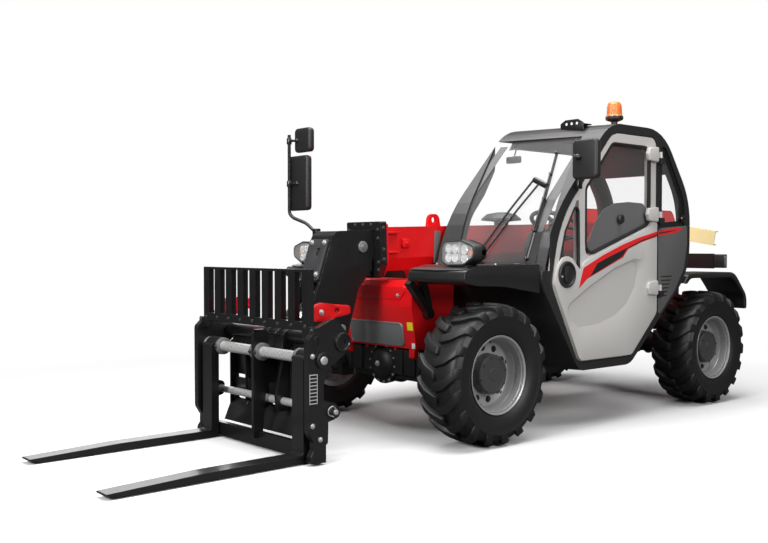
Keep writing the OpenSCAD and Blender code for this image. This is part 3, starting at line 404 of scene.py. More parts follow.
redPaint = makeMaterial("redPaint", (0.60, 0.005, 0.008), coat=0.1, rough=0.36, bump=0.03, grain=260,
                        dust=0.02, Specular_IOR_Level=0.3)
redPlastic = makeMaterial("redPlastic", (0.58, 0.005, 0.008), coat=0.1, rough=0.38, bump=0.03, grain=300,
                          dust=0.02, Specular_IOR_Level=0.3)
blackPaint = makeMaterial("blackPaint", (0.006, 0.006, 0.0065), coat=0.2, rough=0.34, dust=0.02)
forkPaint = makeMaterial("forkPaint", (0.007, 0.007, 0.0075), coat=0.2, rough=0.32, dust=0.02, bump=0.06)
frameBlack = makeMaterial("frameBlack", (0.016, 0.016, 0.0165), rough=0.40, dust=0.03, bump=0.03)
fenderBlack = makeMaterial("fenderBlack", (0.012, 0.012, 0.0125), coat=0.3,
                           rough=0.34, dust=0.04, bump=0.03)
headPlate = makeMaterial("headPlate", (0.034, 0.035, 0.037), rough=0.42, dust=0.05)
doorGrey = makeMaterial("doorGrey", (0.50, 0.485, 0.470), coat=0.15, rough=0.38,
                        drift=0.05, dust=0.03, bump=0.02)
panelGrey = makeMaterial("panelGrey", (0.100, 0.099, 0.099), rough=0.45, dust=0.04)
blackPlastic = makeMaterial("blackPlastic", (0.014, 0.014, 0.0145), rough=0.46,
                            grain=900, bump=0.10, dust=0.05)
castBlack = makeMaterial("castBlack", (0.007, 0.007, 0.0075), rough=0.46, grain=160, bump=0.25, dust=0.02)
engineIron = makeMaterial("engineIron", (0.040, 0.041, 0.043), metallic=0.2,
                          rough=0.55, grain=120, bump=0.25)
brightSteel = makeMaterial("brightSteel", (0.78, 0.78, 0.77), metallic=0.65, rough=0.28, drift=0.1,
                           grain=700, bump=0.03, dust=0.03)
zincSteel = makeMaterial("zincSteel", (0.52, 0.52, 0.51), metallic=0.6, rough=0.38, grain=500, dust=0.05)
hubGrey = makeMaterial("hubGrey", (0.045, 0.045, 0.046), rough=0.42, grain=500, bump=0.06)
rimSilver = makeMaterial("rimSilver", (0.36, 0.36, 0.36), metallic=0.35, coat=0.2,
                         rough=0.36, grain=350, dust=0.05)
tyreRubber = makeMaterial("tyreRubber", (0.0045, 0.0045, 0.0047), rough=0.50, grain=220, bump=0.16,
                          dust=0.015, drift=0.3)
softRubber = makeMaterial("softRubber", (0.008, 0.008, 0.008), rough=0.6, grain=600, bump=0.08, dust=0.04)
sandPaint = makeMaterial("sandPaint", (0.78, 0.66, 0.34), rough=0.42)
seatCloth = makeMaterial("seatCloth", (0.024, 0.024, 0.026), rough=0.85, grain=1500, bump=0.35, edge=0.0005)
amberLens = makeMaterial("amberLens", (0.80, 0.20, 0.015), coat=0.6, rough=0.18, dust=0.02, bump=0.0)
amberGlass = makeMaterial("amberGlass", (0.90, 0.20, 0.012), coat=0.6, rough=0.18,
                          dust=0.0, bump=0.0, Alpha=0.82)
redLens = makeMaterial("redLens", (0.42, 0.012, 0.012), coat=0.6, rough=0.2, dust=0.02, bump=0.0)
chromeBowl = makeMaterial("chromeBowl", (0.95, 0.95, 0.95), metallic=0.55, rough=0.16, dust=0.0, bump=0.0)
lampGlow = makeMaterial("lampGlow", (0.92, 0.92, 0.90), rough=0.15, dust=0.0, bump=0.0)
plateGrey = makeMaterial("plateGrey", (0.20, 0.205, 0.21), metallic=0.4, rough=0.40)
labelYellow = makeMaterial("labelYellow", (0.70, 0.62, 0.02), rough=0.45, drift=0.03)
labelWhite = makeMaterial("labelWhite", (0.72, 0.72, 0.70), rough=0.45, drift=0.03)
stripeRed = makeMaterial("stripeRed", (0.70, 0.012, 0.014), coat=0.2, rough=0.32, drift=0.03)
stripeBlack = makeMaterial("stripeBlack", (0.012, 0.012, 0.0125), coat=0.2, rough=0.34)
clearGlass = makeGlass("clearGlass", (0.60, 0.61, 0.62), 0.05)
lampGlass = makeGlass("lampGlass", (1.0, 1.0, 1.0), 0.12)
print("materials ready")

nodeFinish = {
    "chassis_frame": redPaint, "nose": redPaint, "engine_block": engineIron, "front_axle": castBlack,
    "rear_axle": castBlack, "cab_frame": frameBlack, "cab_glass": clearGlass, "seat": seatCloth,
    "steering": blackPlastic, "dashboard": blackPlastic, "front_cowls": blackPlastic,
    "headlamps": lampGlass, "front_brackets": blackPaint, "rear_fenders": blackPlastic,
    "tail_weight": castBlack, "tail_lamps": redLens, "mirrors": blackPlastic, "beacon": amberLens,
    "safety_prop": sandPaint,
    "door_panel": doorGrey, "door_glass": clearGlass, "engine_hood": redPlastic, "air_intake": blackPlastic,
    "boom_outer": redPaint, "boom_collar": blackPaint, "boom_inner": blackPaint, "boom_head": blackPaint,
    "lift_barrel": blackPaint, "lift_rod": brightSteel, "tilt_barrel": blackPaint, "tilt_rod": brightSteel,
    "hitch_frame": blackPaint, "fork_frame": blackPaint, "fork_shafts": brightSteel,
    "latch_levers": redPaint, "fork_left": forkPaint, "fork_right": forkPaint,
}
corners = ["front_left", "front_right", "rear_left", "rear_right"]
for corner in corners:
    nodeFinish["knuckle_" + corner] = castBlack
    nodeFinish["tyre_" + corner] = tyreRubber
    nodeFinish["wheel_" + corner] = rimSilver
for nodeName, material in nodeFinish.items():
    paint(nodes[nodeName], material)
print("solids painted")


# camera, floor and light

cameraSettings = {"place": (4.2637, 4.459, 1.124), "turn": (88.6, 0, 139.11), "lens": 44.16, "sensor": 36}


def makeCamera():
    data = bpy.data.cameras.new("photoCamera")
    data.lens = cameraSettings["lens"]
    data.sensor_width = cameraSettings["sensor"]
    data.clip_end = 200
    camera = bpy.data.objects.new("photoCamera", data)
    camera.location = cameraSettings["place"]
    camera.rotation_euler = [math.radians(a) for a in cameraSettings["turn"]]
    bpy.context.scene.collection.objects.link(camera)
    bpy.context.scene.camera = camera


stageSettings = {"floor": 60, "near": 2.5, "fade": 2.2, "floorGrey": 0.72, "bounce": 0.12, "ambient": 0.13}


# the floor is white for the camera, with soft shadows close by, and only a dim grey in reflections
def makeFloorMaterial():
    material = bpy.data.materials.new("paleFloor")
    material.use_nodes = True
    tree = material.node_tree
    shader = tree.nodes["Principled BSDF"]
    shader.inputs["Base Color"].default_value = (*[stageSettings["floorGrey"]] * 3, 1)
    shader.inputs["Roughness"].default_value = 0.9
    shader.inputs["Specular IOR Level"].default_value = 0.0
    white = tree.nodes.new("ShaderNodeEmission")
    dim = tree.nodes.new("ShaderNodeBsdfDiffuse")
    dim.inputs["Color"].default_value = (*[stageSettings["bounce"]] * 3, 1)
    length = tree.nodes.new("ShaderNodeVectorMath")
    length.operation = "LENGTH"
    tree.links.new(tree.nodes.new("ShaderNodeTexCoord").outputs["Object"], length.inputs[0])
    away = mathNode(tree, "SUBTRACT", length.outputs["Value"], stageSettings["near"])
    away = mathNode(tree, "DIVIDE", away, stageSettings["fade"], True)
    far = tree.nodes.new("ShaderNodeMixShader")
    tree.links.new(away, far.inputs[0])
    tree.links.new(shader.outputs[0], far.inputs[1])
    tree.links.new(white.outputs[0], far.inputs[2])
    seen = tree.nodes.new("ShaderNodeMixShader")
    path = tree.nodes.new("ShaderNodeLightPath")
    direct = mathNode(tree, "MAXIMUM", path.outputs["Is Camera Ray"], path.outputs["Is Transmission Ray"])
    tree.links.new(direct, seen.inputs[0])
    tree.links.new(dim.outputs[0], seen.inputs[1])
    tree.links.new(far.outputs[0], seen.inputs[2])
    tree.links.new(seen.outputs[0], tree.nodes["Material Output"].inputs["Surface"])
    return material


def makeStage():
    clearAll()
    bpy.ops.mesh.primitive_plane_add(size=stageSettings["floor"])
    floor = bpy.context.object
    floor.name = "studioFloor"
    paint(floor, makeFloorMaterial())

    world = bpy.data.worlds.new("studioWorld")
    bpy.context.scene.world = world
    world.use_nodes = True
    tree = world.node_tree
    back = tree.nodes["Background"]
    back.inputs["Color"].default_value = (1, 1, 1, 1)
    path = tree.nodes.new("ShaderNodeLightPath")
    light = mathNode(tree, "MULTIPLY_ADD", path.outputs["Is Camera Ray"], 1 - stageSettings["ambient"])
    light.node.inputs[2].default_value = stageSettings["ambient"]
    tree.links.new(light, back.inputs["Strength"])


lampSettings = [
    {"name": "topLamp", "place": (0.3, 0.4, 6.0), "aim": (0.2, 0.2, 0), "size": 6.0, "watts": 680},
    {"name": "sideLamp", "place": (1.2, 7.0, 3.4), "aim": (-0.3, 0.5, 0.8), "size": 3.0, "watts": 300},
    {"name": "noseLamp", "place": (7.0, 1.0, 3.4), "aim": (0.4, 0, 0.7), "size": 2.0, "watts": 380},
    {"name": "backLamp", "place": (-2.2, -7.8, 2.1), "aim": (1.5, 0.0, 0.3), "size": 5.0, "watts": 170},
]


def makeLamps():
    for lamp in lampSettings:
        data = bpy.data.lights.new(lamp["name"], "AREA")
        data.energy = lamp["watts"]
        data.size = lamp["size"]
        lampObject = bpy.data.objects.new(lamp["name"], data)
        place = Vector(lamp["place"])
        lampObject.location = place
        lampObject.visible_camera = False
        lampObject.rotation_euler = (Vector(lamp["aim"]) - place).to_track_quat("-Z", "Y").to_euler()
        bpy.context.scene.collection.objects.link(lampObject)


makeCamera()
makeStage()
makeLamps()
bpy.context.scene.view_settings.view_transform = "Standard"
print("camera, floor and lamps ready")

# places below are measured from the ground under the front axle, in metres

def at(x, y, z):
    return Vector((x + axleX, y, z))


boomSettings = {"pivot": (-2.45, 1.193), "droop": math.radians(1.6)}
pinSettings = {"carriage": (0.77969, 0.42052)}


# places along the lowered boom, from its pivot
def boomAt(along, across, up):
    x, z = boomSettings["pivot"]
    c, s = math.cos(boomSettings["droop"]), math.sin(boomSettings["droop"])
    return at(x + along * c + up * s, across, z - along * s + up * c)


# places on the fork carriage, from its pin
def carAt(x, y, z):
    pinX, pinZ = pinSettings["carriage"]
    return at(pinX + x, y, pinZ + z)


def sidePlate(outline, inner, outer, bevel=0.0, segments=2):
    return platePiece(outline, at(0, inner, 0), (1, 0, 0), (0, 0, 1), inner - outer, bevel, segments)


def facePlate(outline, back, front, bevel=0.0, segments=2):
    return platePiece(outline, at(back, 0, 0), (0, 1, 0), (0, 0, 1), front - back, bevel, segments)


def topPlate(outline, low, high, bevel=0.0):
    return platePiece(outline, at(0, 0, low), (1, 0, 0), (0, 1, 0), high - low, bevel)


def insetLoop(points, amount):
    loop = [Vector(p) for p in points]
    area = sum(a.x * b.y - b.x * a.y for a, b in zip(loop, loop[1:] + loop[:1]))
    turn = 1 if area > 0 else -1
    out = []
    for i, p in enumerate(loop):
        before = (p - loop[i - 1]).normalized()
        after = (loop[(i + 1) % len(loop)] - p).normalized()
        along = (before + after).normalized()
        normal = Vector((-along.y, along.x)) * turn
        reach = max(0.4, normal.dot(Vector((-before.y, before.x)) * turn))
        out.append(tuple(p + normal * amount / reach))
    return out


def loopPiece(loop, origin, right, up):
    clearAll()
    bpy.ops.mesh.primitive_circle_add(vertices=len(loop), fill_type="NOTHING")
    piece = bpy.context.object
    for vert, (a, b) in zip(piece.data.vertices, loop):
        vert.co = origin + right * a + up * b
    return piece


# a flat frame between two outlines with as many points
def framePiece(outer, inner, origin, right, up, thick, bevel=0.0):
    origin, right, up = Vector(origin), Vector(right), Vector(up)
    out = right.cross(up).normalized()
    piece = joinAll([loopPiece(loop, origin, right, up) for loop in (outer, inner)], "frame")
    openMesh(piece)
    bpy.ops.mesh.bridge_edge_loops()
    bpy.ops.mesh.select_all(action="SELECT")
    bpy.ops.mesh.extrude_region_move(TRANSFORM_OT_translate={"value": out * thick})
    closeMesh()
    fixNormals(piece)
    if bevel:
        bevelEdges(piece, bevel, 2, 40)
    return piece


def sideFrame(outer, inner, low, high, bevel=0.0):
    return framePiece(outer, inner, at(0, low, 0), (1, 0, 0), (0, 0, 1), low - high, bevel)


# an oval with one point for each point of the loop around it
def ovalInside(loop, centre, spread, radii):
    oval = []
    for a, b in loop:
        angle = math.atan2((b - centre[1]) / spread[1], (a - centre[0]) / spread[0])
        oval.append((centre[0] + radii[0] * math.cos(angle), centre[1] + radii[1] * math.sin(angle)))
    return oval


# a round tube along a path, with rounded bends
def tubePiece(points, radius, sides=12, bend=0.03):
    curve = bpy.data.curves.new("tube", "CURVE")
    curve.dimensions = "3D"
    curve.bevel_depth = radius
    curve.bevel_resolution = max(1, sides // 4 - 1)
    curve.use_fill_caps = True
    path = [Vector(p) for p in points]
    places = [path[0]]
    for i in range(1, len(path) - 1):
        a, b = path[i - 1] - path[i], path[i + 1] - path[i]
        reach = min(bend, a.length * 0.45, b.length * 0.45)
        start, end = path[i] + a.normalized() * reach, path[i] + b.normalized() * reach
        for k in range(6):
            t = k / 5
            places.append(start * (1 - t) ** 2 + path[i] * 2 * t * (1 - t) + end * t ** 2)
    places.append(path[-1])
    spline = curve.splines.new("POLY")
    spline.points.add(len(places) - 1)
    for point, place in zip(spline.points, places):
        point.co = (*place, 1)
    piece = bpy.data.objects.new("tube", curve)
    bpy.context.scene.collection.objects.link(piece)
    pickOnly(piece)
    bpy.ops.object.convert(target="MESH")
    return fixNormals(bpy.context.object)


def ballPiece(centre, radius, rings=12):
    clearAll()
    bpy.ops.mesh.primitive_uv_sphere_add(segments=2 * rings, ring_count=rings, radius=radius)
    piece = bpy.context.object
    piece.data.transform(Matrix.Translation(Vector(centre)))
    return piece


def mirrored(piece):
    return copyPiece(piece, Matrix.Diagonal((1, -1, 1, 1)))


# tyres: a spun carcass with slanted lugs that lap over both shoulders
tyreSettings = {
    "lugs": 18, "start": -90 + math.degrees(math.asin(0.024 / 0.408)), "flank": 0.008, "depth": 0.032,
    "halfWidth": 0.152, "taper": 0.022, "round": 0.004,
    # across, radius, lead in degrees, width
    "rows": [(-0.008, 0.4078, -0.4, 0.044), (0.012, 0.4080, 0.2, 0.048), (0.045, 0.4076, 1.8, 0.052),
             (0.075, 0.4064, 3.5, 0.055), (0.100, 0.4035, 6.4, 0.058), (0.125, 0.3985, 9.4, 0.060),
             (0.140, 0.3925, 11.4, 0.060), (0.1478, 0.3790, 12.6, 0.057), (0.1512, 0.3580, 13.4, 0.053),
             (0.1520, 0.3380, 14.0, 0.051)],
    "carcass": [(0.2102, 0.1187), (0.228, 0.1187), (0.233, 0.1235), (0.246, 0.1330), (0.268, 0.1425),
                (0.300, 0.1490), (0.328, 0.1500), (0.3315, 0.1518), (0.3365, 0.1518), (0.3395, 0.1478),
                (0.360, 0.1405), (0.374, 0.1260), (0.3810, 0.1000), (0.3825, 0.0500), (0.3830, 0.0)],
}


def makeTyre():
    half = tyreSettings["carcass"]
    carcass = spunPiece(half + [(r, -y) for r, y in reversed(half[:-1])], (0, 0, 0), (0, 1, 0), 90)
    rows = tyreSettings["rows"]
    clearAll()
    bpy.ops.mesh.primitive_grid_add(x_subdivisions=len(rows) - 1, y_subdivisions=1, size=2)
    lug = bpy.context.object
    openMesh(lug)
    bpy.ops.mesh.extrude_region_move(TRANSFORM_OT_translate={"value": (0, 0, -1)})
    closeMesh()
    for vert in lug.data.vertices:
        across, radius, lead, width = rows[round((vert.co.x + 1) / 2 * (len(rows) - 1))]
        low = vert.co.z < -0.5
        reach = width / 2 + (tyreSettings["flank"] if low else 0)
        angle = math.radians(lead) + math.copysign(math.asin(reach / radius), vert.co.y)
        if low:
            radius -= tyreSettings["depth"]
            across -= tyreSettings["taper"] * across / tyreSettings["halfWidth"]
        vert.co = (radius * math.cos(angle), across, radius * math.sin(angle))
    fixNormals(lug)
    bevelEdges(lug, tyreSettings["round"], 2, 28)
    count = tyreSettings["lugs"]
    lugs = [carcass]
    for side, offset in ((1, 0), (-1, 0.5)):
        for k in range(count):
            turn = math.radians(tyreSettings["start"] + (k + offset) * 360 / count)
            lugs.append(copyPiece(lug, Matrix.Rotation(-turn, 4, "Y") @ Matrix.Diagonal((1, side, 1, 1))))
    bpy.data.objects.remove(lug)
    return paint(joinAll(lugs, "tyre"), tyreRubber)


# wheels: stepped silver rim, deep disc with nuts, dark hub cover and a valve
wheelSettings = {
    "rim": [(0.1945, -0.127), (0.226, -0.127), (0.226, -0.121), (0.2100, -0.1185), (0.2100, 0.1185),
            (0.226, 0.121), (0.226, 0.1262), (0.2215, 0.1270), (0.2150, 0.1225), (0.2110, 0.1120),
            (0.2060, 0.1090), (0.2040, 0.0900), (0.2035, 0.0600), (0.1990, 0.0520), (0.1965, 0.0300),
            (0.1880, 0.0170), (0.1700, 0.0130), (0.1150, 0.0180), (0.1150, 0.0020), (0.1650, -0.0050),
            (0.1830, -0.0060), (0.1930, -0.0180)],
    "hub": [(0.0456, -0.060), (0.085, -0.060), (0.085, -0.010), (0.1180, -0.010), (0.1180, 0.0260),
            (0.1145, 0.0300), (0.1135, 0.0740), (0.1090, 0.0810), (0.1010, 0.0830), (0.0930, 0.0830),
            (0.0915, 0.0815), (0.0360, 0.0815), (0.0345, 0.0840), (0.0, 0.0840), (0.0, 0.0415),
            (0.0456, 0.0415)],
    "nuts": 10, "circle": 0.152, "coverBolts": 8, "coverCircle": 0.101, "slots": 6, "middle": 0.75,
    "slot": ((0.176, 0.0095, -0.012), (0.189, 0.0170, 0.012)),
    "valve": [(0.1965, 0.045, 0), (0.190, 0.060, 0), (0.186, 0.085, 0)],
}


def makeWheel():
    rim = paint(spunPiece(wheelSettings["rim"], (0, 0, 0), (0, 1, 0), 96), rimSilver)
    hub = paint(spunPiece(wheelSettings["hub"], (0, 0, 0), (0, 1, 0), 64), hubGrey)
    axis = (0, 1, 0)
    places = ring((0, 0.0135, 0), axis, wheelSettings["circle"], wheelSettings["nuts"])
    nuts = paint(boltSet(places, axis, 0.0125), castBlack)
    places = ring((0, 0.0825, 0), axis, wheelSettings["coverCircle"], wheelSettings["coverBolts"], 0.2)
    small = paint(boltSet(places, axis, 0.0055), hubGrey)
    slot = paint(boxPiece(*wheelSettings["slot"], 0.004), castBlack)
    slots = [copyPiece(slot, Matrix.Rotation(k * math.pi / 3 + 0.3, 4, "Y"))
             for k in range(wheelSettings["slots"])]
    bpy.data.objects.remove(slot)
    valve = paint(tubePiece(wheelSettings["valve"], 0.004, 8, 0.008), softRubber)
    return joinAll([rim, hub, nuts, small, *slots, valve], "wheel")


def makeWheels():
    tyre, wheel = makeTyre(), makeWheel()
    for corner in corners:
        centre = Vector(jointPlace["roll_" + corner]["pos_m"])
        side = 1 if "left" in corner else -1
        centre.y = side * wheelSettings["middle"]
        matrix = Matrix.Translation(centre) @ Matrix.Diagonal((1, side, 1, 1))
        tread = settle(copyPiece(tyre, matrix), "tread_" + corner, "road_" + corner)
        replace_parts(tread, "tyre_" + corner)
        disc = settle(copyPiece(wheel, matrix), "disc_" + corner, "road_" + corner, smooth=28)
        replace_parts(disc, "wheel_" + corner)
    bpy.data.objects.remove(tyre)
    bpy.data.objects.remove(wheel)


makeWheels()
print("tyres and wheels ready")

# door: pressed skin with the leaf-shaped scoop, stripe, handle bowl, seals and hinge covers
doorSettings = {
    "skin": 0.876, "floor": 0.8612,
    "outline": [(-0.735, 0.432), (-0.486, 0.905), (-0.497, 0.960), (-0.520, 1.020), (-0.560, 1.066),
                (-0.612, 1.078), (-0.660, 1.062), (-0.700, 1.020), (-0.742, 0.985), (-0.757, 1.020),
                (-0.796, 1.050), (-1.490, 1.270), (-1.505, 1.310), (-1.562, 1.310), (-1.562, 0.692),
                (-1.278, 0.432)],
    "scoop": [(-0.600, 0.775), (-0.829, 0.892), (-1.088, 1.002), (-1.300, 1.058), (-1.405, 1.050),
              (-1.425, 0.990), (-1.375, 0.850), (-1.280, 0.722), (-1.140, 0.638), (-0.960, 0.586),
              (-0.720, 0.572), (-0.625, 0.640)],
    "bottom": [(-0.628, 0.770), (-0.845, 0.880), (-1.100, 0.986), (-1.295, 1.037), (-1.340, 1.026),
               (-1.352, 0.985), (-1.318, 0.870), (-1.232, 0.766), (-1.110, 0.696), (-0.935, 0.650),
               (-0.735, 0.638), (-0.655, 0.690)],
    "stripe": [(-0.716, 0.877), (-0.763, 1.005), (-0.960, 1.082), (-1.174, 1.150), (-1.360, 1.198),
               (-1.560, 1.238), (-1.560, 1.204), (-1.380, 1.166), (-1.230, 1.120), (-1.175, 1.067),
               (-0.803, 0.937)],
    "inset": [(-0.828, 0.949), (-0.903, 1.032), (-1.060, 1.082), (-1.211, 1.126), (-1.380, 1.178),
              (-1.560, 1.219), (-1.560, 1.212), (-1.380, 1.170), (-1.215, 1.119), (-1.165, 1.072)],
    "handle": (-0.600, 0.966), "hinges": [0.840, 1.330, 1.730],
    "lever": [(-0.022, -0.050), (0.024, -0.050), (0.032, 0), (0.024, 0.050), (-0.022, 0.050)],
    "hingeCover": [(-1.558, -0.030), (-1.558, 0.072), (-1.452, 0.062), (-1.436, 0.020), (-1.452, -0.022)],
    "lower": [(-0.812, 1.082), (-0.868, 1.190), (-0.930, 1.295), (-1.010, 1.372), (-1.120, 1.414),
              (-1.280, 1.428), (-1.440, 1.424), (-1.482, 1.396), (-1.490, 1.292)],
    "main": [(-0.800, 1.065), (-0.800, 1.500), (-1.075, 1.800), (-1.500, 1.800), (-1.500, 1.285)],
    "front": [(-0.745, 0.965), (-0.535, 1.000), (-0.600, 1.230), (-0.735, 1.450)],
    "bowl": [(0, 0.001), (0.054, 0.001), (0.062, 0.003), (0.067, 0.011), (0.073, 0.013), (0.080, 0.009),
             (0.082, 0.0), (0.080, -0.006), (0, -0.006)],
    "knob": [(0, 0), (0.014, 0), (0.016, 0.006), (0.030, 0.010), (0.031, 0.020), (0.024, 0.026),
             (0, 0.028)],
}


def makeDoorSkin():
    base, right, up = at(0, 0, 0), Vector((1, 0, 0)), Vector((0, 0, 1))
    top = base + Vector((0, doorSettings["skin"], 0))
    low = base + Vector((0, doorSettings["floor"], 0))
    edge = roundCorners(doorSettings["outline"], 0.05, 4)
    scoop = roundCorners(doorSettings["scoop"], 0.06, 4)
    bottom = roundCorners(doorSettings["bottom"], 0.06, 4)
    face = joinAll([loopPiece(edge, top, right, up), loopPiece(scoop, top, right, up)], "face")
    openMesh(face)
    bpy.ops.mesh.fill(use_beauty=True)
    closeMesh()
    walls = []
    for first, high, second, lower in ((scoop, top, bottom, low), (edge, top, edge, low)):
        wall = joinAll([loopPiece(first, high, right, up), loopPiece(second, lower, right, up)], "wall")
        openMesh(wall)
        bpy.ops.mesh.bridge_edge_loops()
        closeMesh()
        walls.append(wall)
    skin = fixNormals(joinAll([face, *walls], "doorSkin"))
    bevelEdges(skin, 0.0035, 3, 22)
    return paint(skin, doorGrey)


def makeDoorHandle():
    x, z = doorSettings["handle"]
    y = doorSettings["skin"]
    bowl = spunPiece(doorSettings["bowl"], at(x, y, z), (0, 1, 0), 48)
    outline = [(x + a, z + b) for a, b in doorSettings["lever"]]
    lever = sidePlate(roundCorners(outline, 0.018), y, y + 0.012, 0.004)
    lock = rodPiece(at(x + 0.046, y, z - 0.012), at(x + 0.046, y + 0.006, z - 0.012), 0.007, 20, 0.001)
    paint(lock, brightSteel)
    return joinAll([paint(bowl, blackPlastic), paint(lever, blackPlastic), lock], "doorHandle")


def makeDoor():
    skin = makeDoorSkin()
    y = doorSettings["skin"]
    red = paint(sidePlate(doorSettings["stripe"], y - 0.0004, y + 0.0008), stripeRed)
    dark = paint(sidePlate(doorSettings["inset"], y - 0.0004, y + 0.0014), stripeBlack)
    gather([skin, red, dark], "doorSkin", "door", smooth=30)
    settle(makeDoorHandle(), "doorHandle", "door")
    seals = []
    for name, radius, width in (("main", 0.07, 0.018), ("front", 0.03, 0.012)):
        outer = roundCorners(doorSettings[name], radius, 6)
        seals.append(sideFrame(outer, insetLoop(outer, width), 0.846, 0.8605, 0.003))
        seals.append(sideFrame(insetLoop(outer, -0.004), insetLoop(outer, 0.010), 0.858, 0.8635, 0.002))
    gather(seals, "doorSeals", "door", softRubber)
    covers = []
    for z in doorSettings["hinges"]:
        outline = [(x, z + b) for x, b in doorSettings["hingeCover"]]
        covers.append(sidePlate(roundCorners(outline, 0.014), 0.862, 0.893, 0.007, 3))
    gather(covers, "hingeCovers", "door", doorGrey)
    lower = sidePlate(roundCorners(doorSettings["lower"], 0.05, 5), 0.8370, 0.8415)
    settle(lower, "lowerPane", "door", panelGrey)
    knob = spunPiece(doorSettings["knob"], at(-1.173, 0.846, 1.314), (0, 1, 0), 32)
    settle(knob, "windowKnob", "door", blackPlastic)


makeDoor()
print("door ready")

# headlamps: black shell, clear lens, four bright bowls and an amber turn lamp on each
lampShape = {
    "lens": [(0.608, 1.052), (0.648, 1.031), (0.770, 1.035), (0.846, 1.076), (0.846, 1.132),
             (0.750, 1.163), (0.630, 1.158), (0.608, 1.132)],
    "back": 0.088, "front": 0.190,
    "bowls": [(0.645, 1.072), (0.698, 1.072), (0.645, 1.124), (0.698, 1.124)],
    "bowl": [(0, 0.0), (0.010, 0.002), (0.017, 0.008), (0.0225, 0.022), (0.0245, 0.034), (0.026, 0.034),
             (0.026, -0.004), (0, -0.004)],
    "turnLamp": [(0, 0), (0.020, 0), (0.022, 0.008), (0.014, 0.026), (0, 0.030)],
}


def makeHeadlamps():
    loop = roundCorners(lampShape["lens"], 0.024, 5)
    outer = insetLoop(loop, -0.010)
    base, right, up = at(lampShape["back"], 0, 0), (0, 1, 0), (0, 0, 1)
    depth = lampShape["front"] - lampShape["back"]
    shell = framePiece(outer, insetLoop(loop, 0.004), base, right, up, depth, 0.005)
    back = facePlate(outer, lampShape["back"] - 0.004, lampShape["back"] + 0.045, 0.008)
    foot = boxPiece(at(0.095, 0.690, 1.010), at(0.180, 0.780, 1.036), 0.006)
    parts = [paint(joinAll([shell, back, foot], "shell"), blackPlastic)]
    parts.append(paint(facePlate(insetLoop(loop, 0.006), lampShape["back"] + 0.045,
                                 lampShape["back"] + 0.049), chromeBowl))
    bowl = lampShape["bowl"]
    for y, z in lampShape["bowls"]:
        parts.append(paint(spunPiece(bowl, at(0.145, y, z), (1, 0, 0), 32), chromeBowl))
        parts.append(paint(ballPiece(at(0.158, y, z), 0.0075), lampGlow))
    parts.append(paint(boxPiece(at(0.138, 0.728, 1.042), at(0.182, 0.732, 1.158), 0.001), chromeBowl))
    parts.append(paint(spunPiece(lampShape["turnLamp"], at(0.138, 0.805, 1.098), (1, 0, 0), 28), amberLens))
    parts.append(paint(spunPiece(bowl, at(0.142, 0.768, 1.120), (1, 0, 0), 28), chromeBowl))
    parts.append(paint(spunPiece(bowl, at(0.142, 0.768, 1.068), (1, 0, 0), 28), chromeBowl))
    lens = paint(facePlate(loop, lampShape["front"] - 0.004, lampShape["front"] + 0.005, 0.003, 3),
                 lampGlass)
    left = joinAll(parts, "headlamps")
    body = gather([left, mirrored(left)], "lampBodies", "chassis", smooth=30)
    gather([lens, mirrored(lens)], "lampLenses", "chassis")
    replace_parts(body, "headlamps")


makeHeadlamps()
print("headlamps ready")

# nose: plain plate with a lip, access cover, plain labels and tow hooks
noseSettings = {
    "plate": [(-0.253, 0.000), (0.252, 0.000), (0.252, 0.146), (-0.253, 0.146)],
    "cover": [(-0.300, 0.812), (0.245, 0.816), (0.285, 0.862), (0.285, 0.896), (-0.300, 0.896)],
    "foot": (0.149, 0, 0.532), "hookSides": (0.282, 0.330), "lean": (0.0207, 0, 0.144),
    "yellow": [(0.286, 0.102), (0.336, 0.102), (0.336, 0.152), (0.286, 0.152)],
    "tag": [(0.314, 0.524), (0.340, 0.524), (0.340, 0.556), (0.314, 0.556)],
    "hook": [(0.020, 0.525), (0.020, 0.470), (0.120, 0.452), (0.156, 0.466), (0.150, 0.525)],
}


def makeNose():
    up = Vector(noseSettings["lean"]).normalized()
    foot = at(*noseSettings["foot"])
    rim = roundCorners(noseSettings["plate"], 0.028)
    plate = platePiece(rim, foot, (0, 1, 0), up, 0.012, 0.004, 3)
    lip = framePiece(insetLoop(rim, 0.004), insetLoop(rim, 0.009), foot, (0, 1, 0), up, 0.0145, 0.001)
    gather([plate, lip], "nosePlate", "chassis", plateGrey)
    yellow = platePiece(noseSettings["yellow"], at(0.150, 0, 0.532), (0, 1, 0), up, 0.0022)
    tag = facePlate(noseSettings["tag"], 0.148, 0.1565)
    gather([paint(yellow, labelYellow), paint(tag, labelWhite)], "noseLabels", "chassis")
    cover = facePlate(roundCorners(noseSettings["cover"], 0.014), 0.180, 0.1905, 0.002)
    hook = sidePlate(roundCorners(noseSettings["hook"], 0.012), *noseSettings["hookSides"], 0.006)
    gather([cover, hook, mirrored(hook)], "noseCover", "chassis", redPaint)
    bolts = boltSet([at(0.1905, 0.224, 0.842), at(0.1905, -0.270, 0.842)], (1, 0, 0), 0.0075)
    settle(bolts, "noseBolts", "chassis", zincSteel)


makeNose()
print("nose ready")

# boom: red flange with ribs, collar bolts, box lug and guide plate
collarSettings = {
    "front": 2.721, "boltRows": [0.120, 0.068, -0.076, -0.122],
    "rib": [(0, -0.006), (0.100, -0.006), (0.100, 0.006), (0, 0.006)],
    "guide": [(0, -0.10), (0.052, -0.10), (0.036, 0.105), (-0.014, 0.105)],
    "flange": [(0.148, 0.156), (-0.148, 0.156), (-0.148, -0.090), (-0.108, -0.162), (0.108, -0.162),
               (0.148, -0.090)],
    "opening": [(0.1155, 0.1365), (-0.1155, 0.1365), (-0.1155, -0.0572), (-0.0752, -0.1365),
                (0.0752, -0.1365), (0.1155, -0.0572)],
}


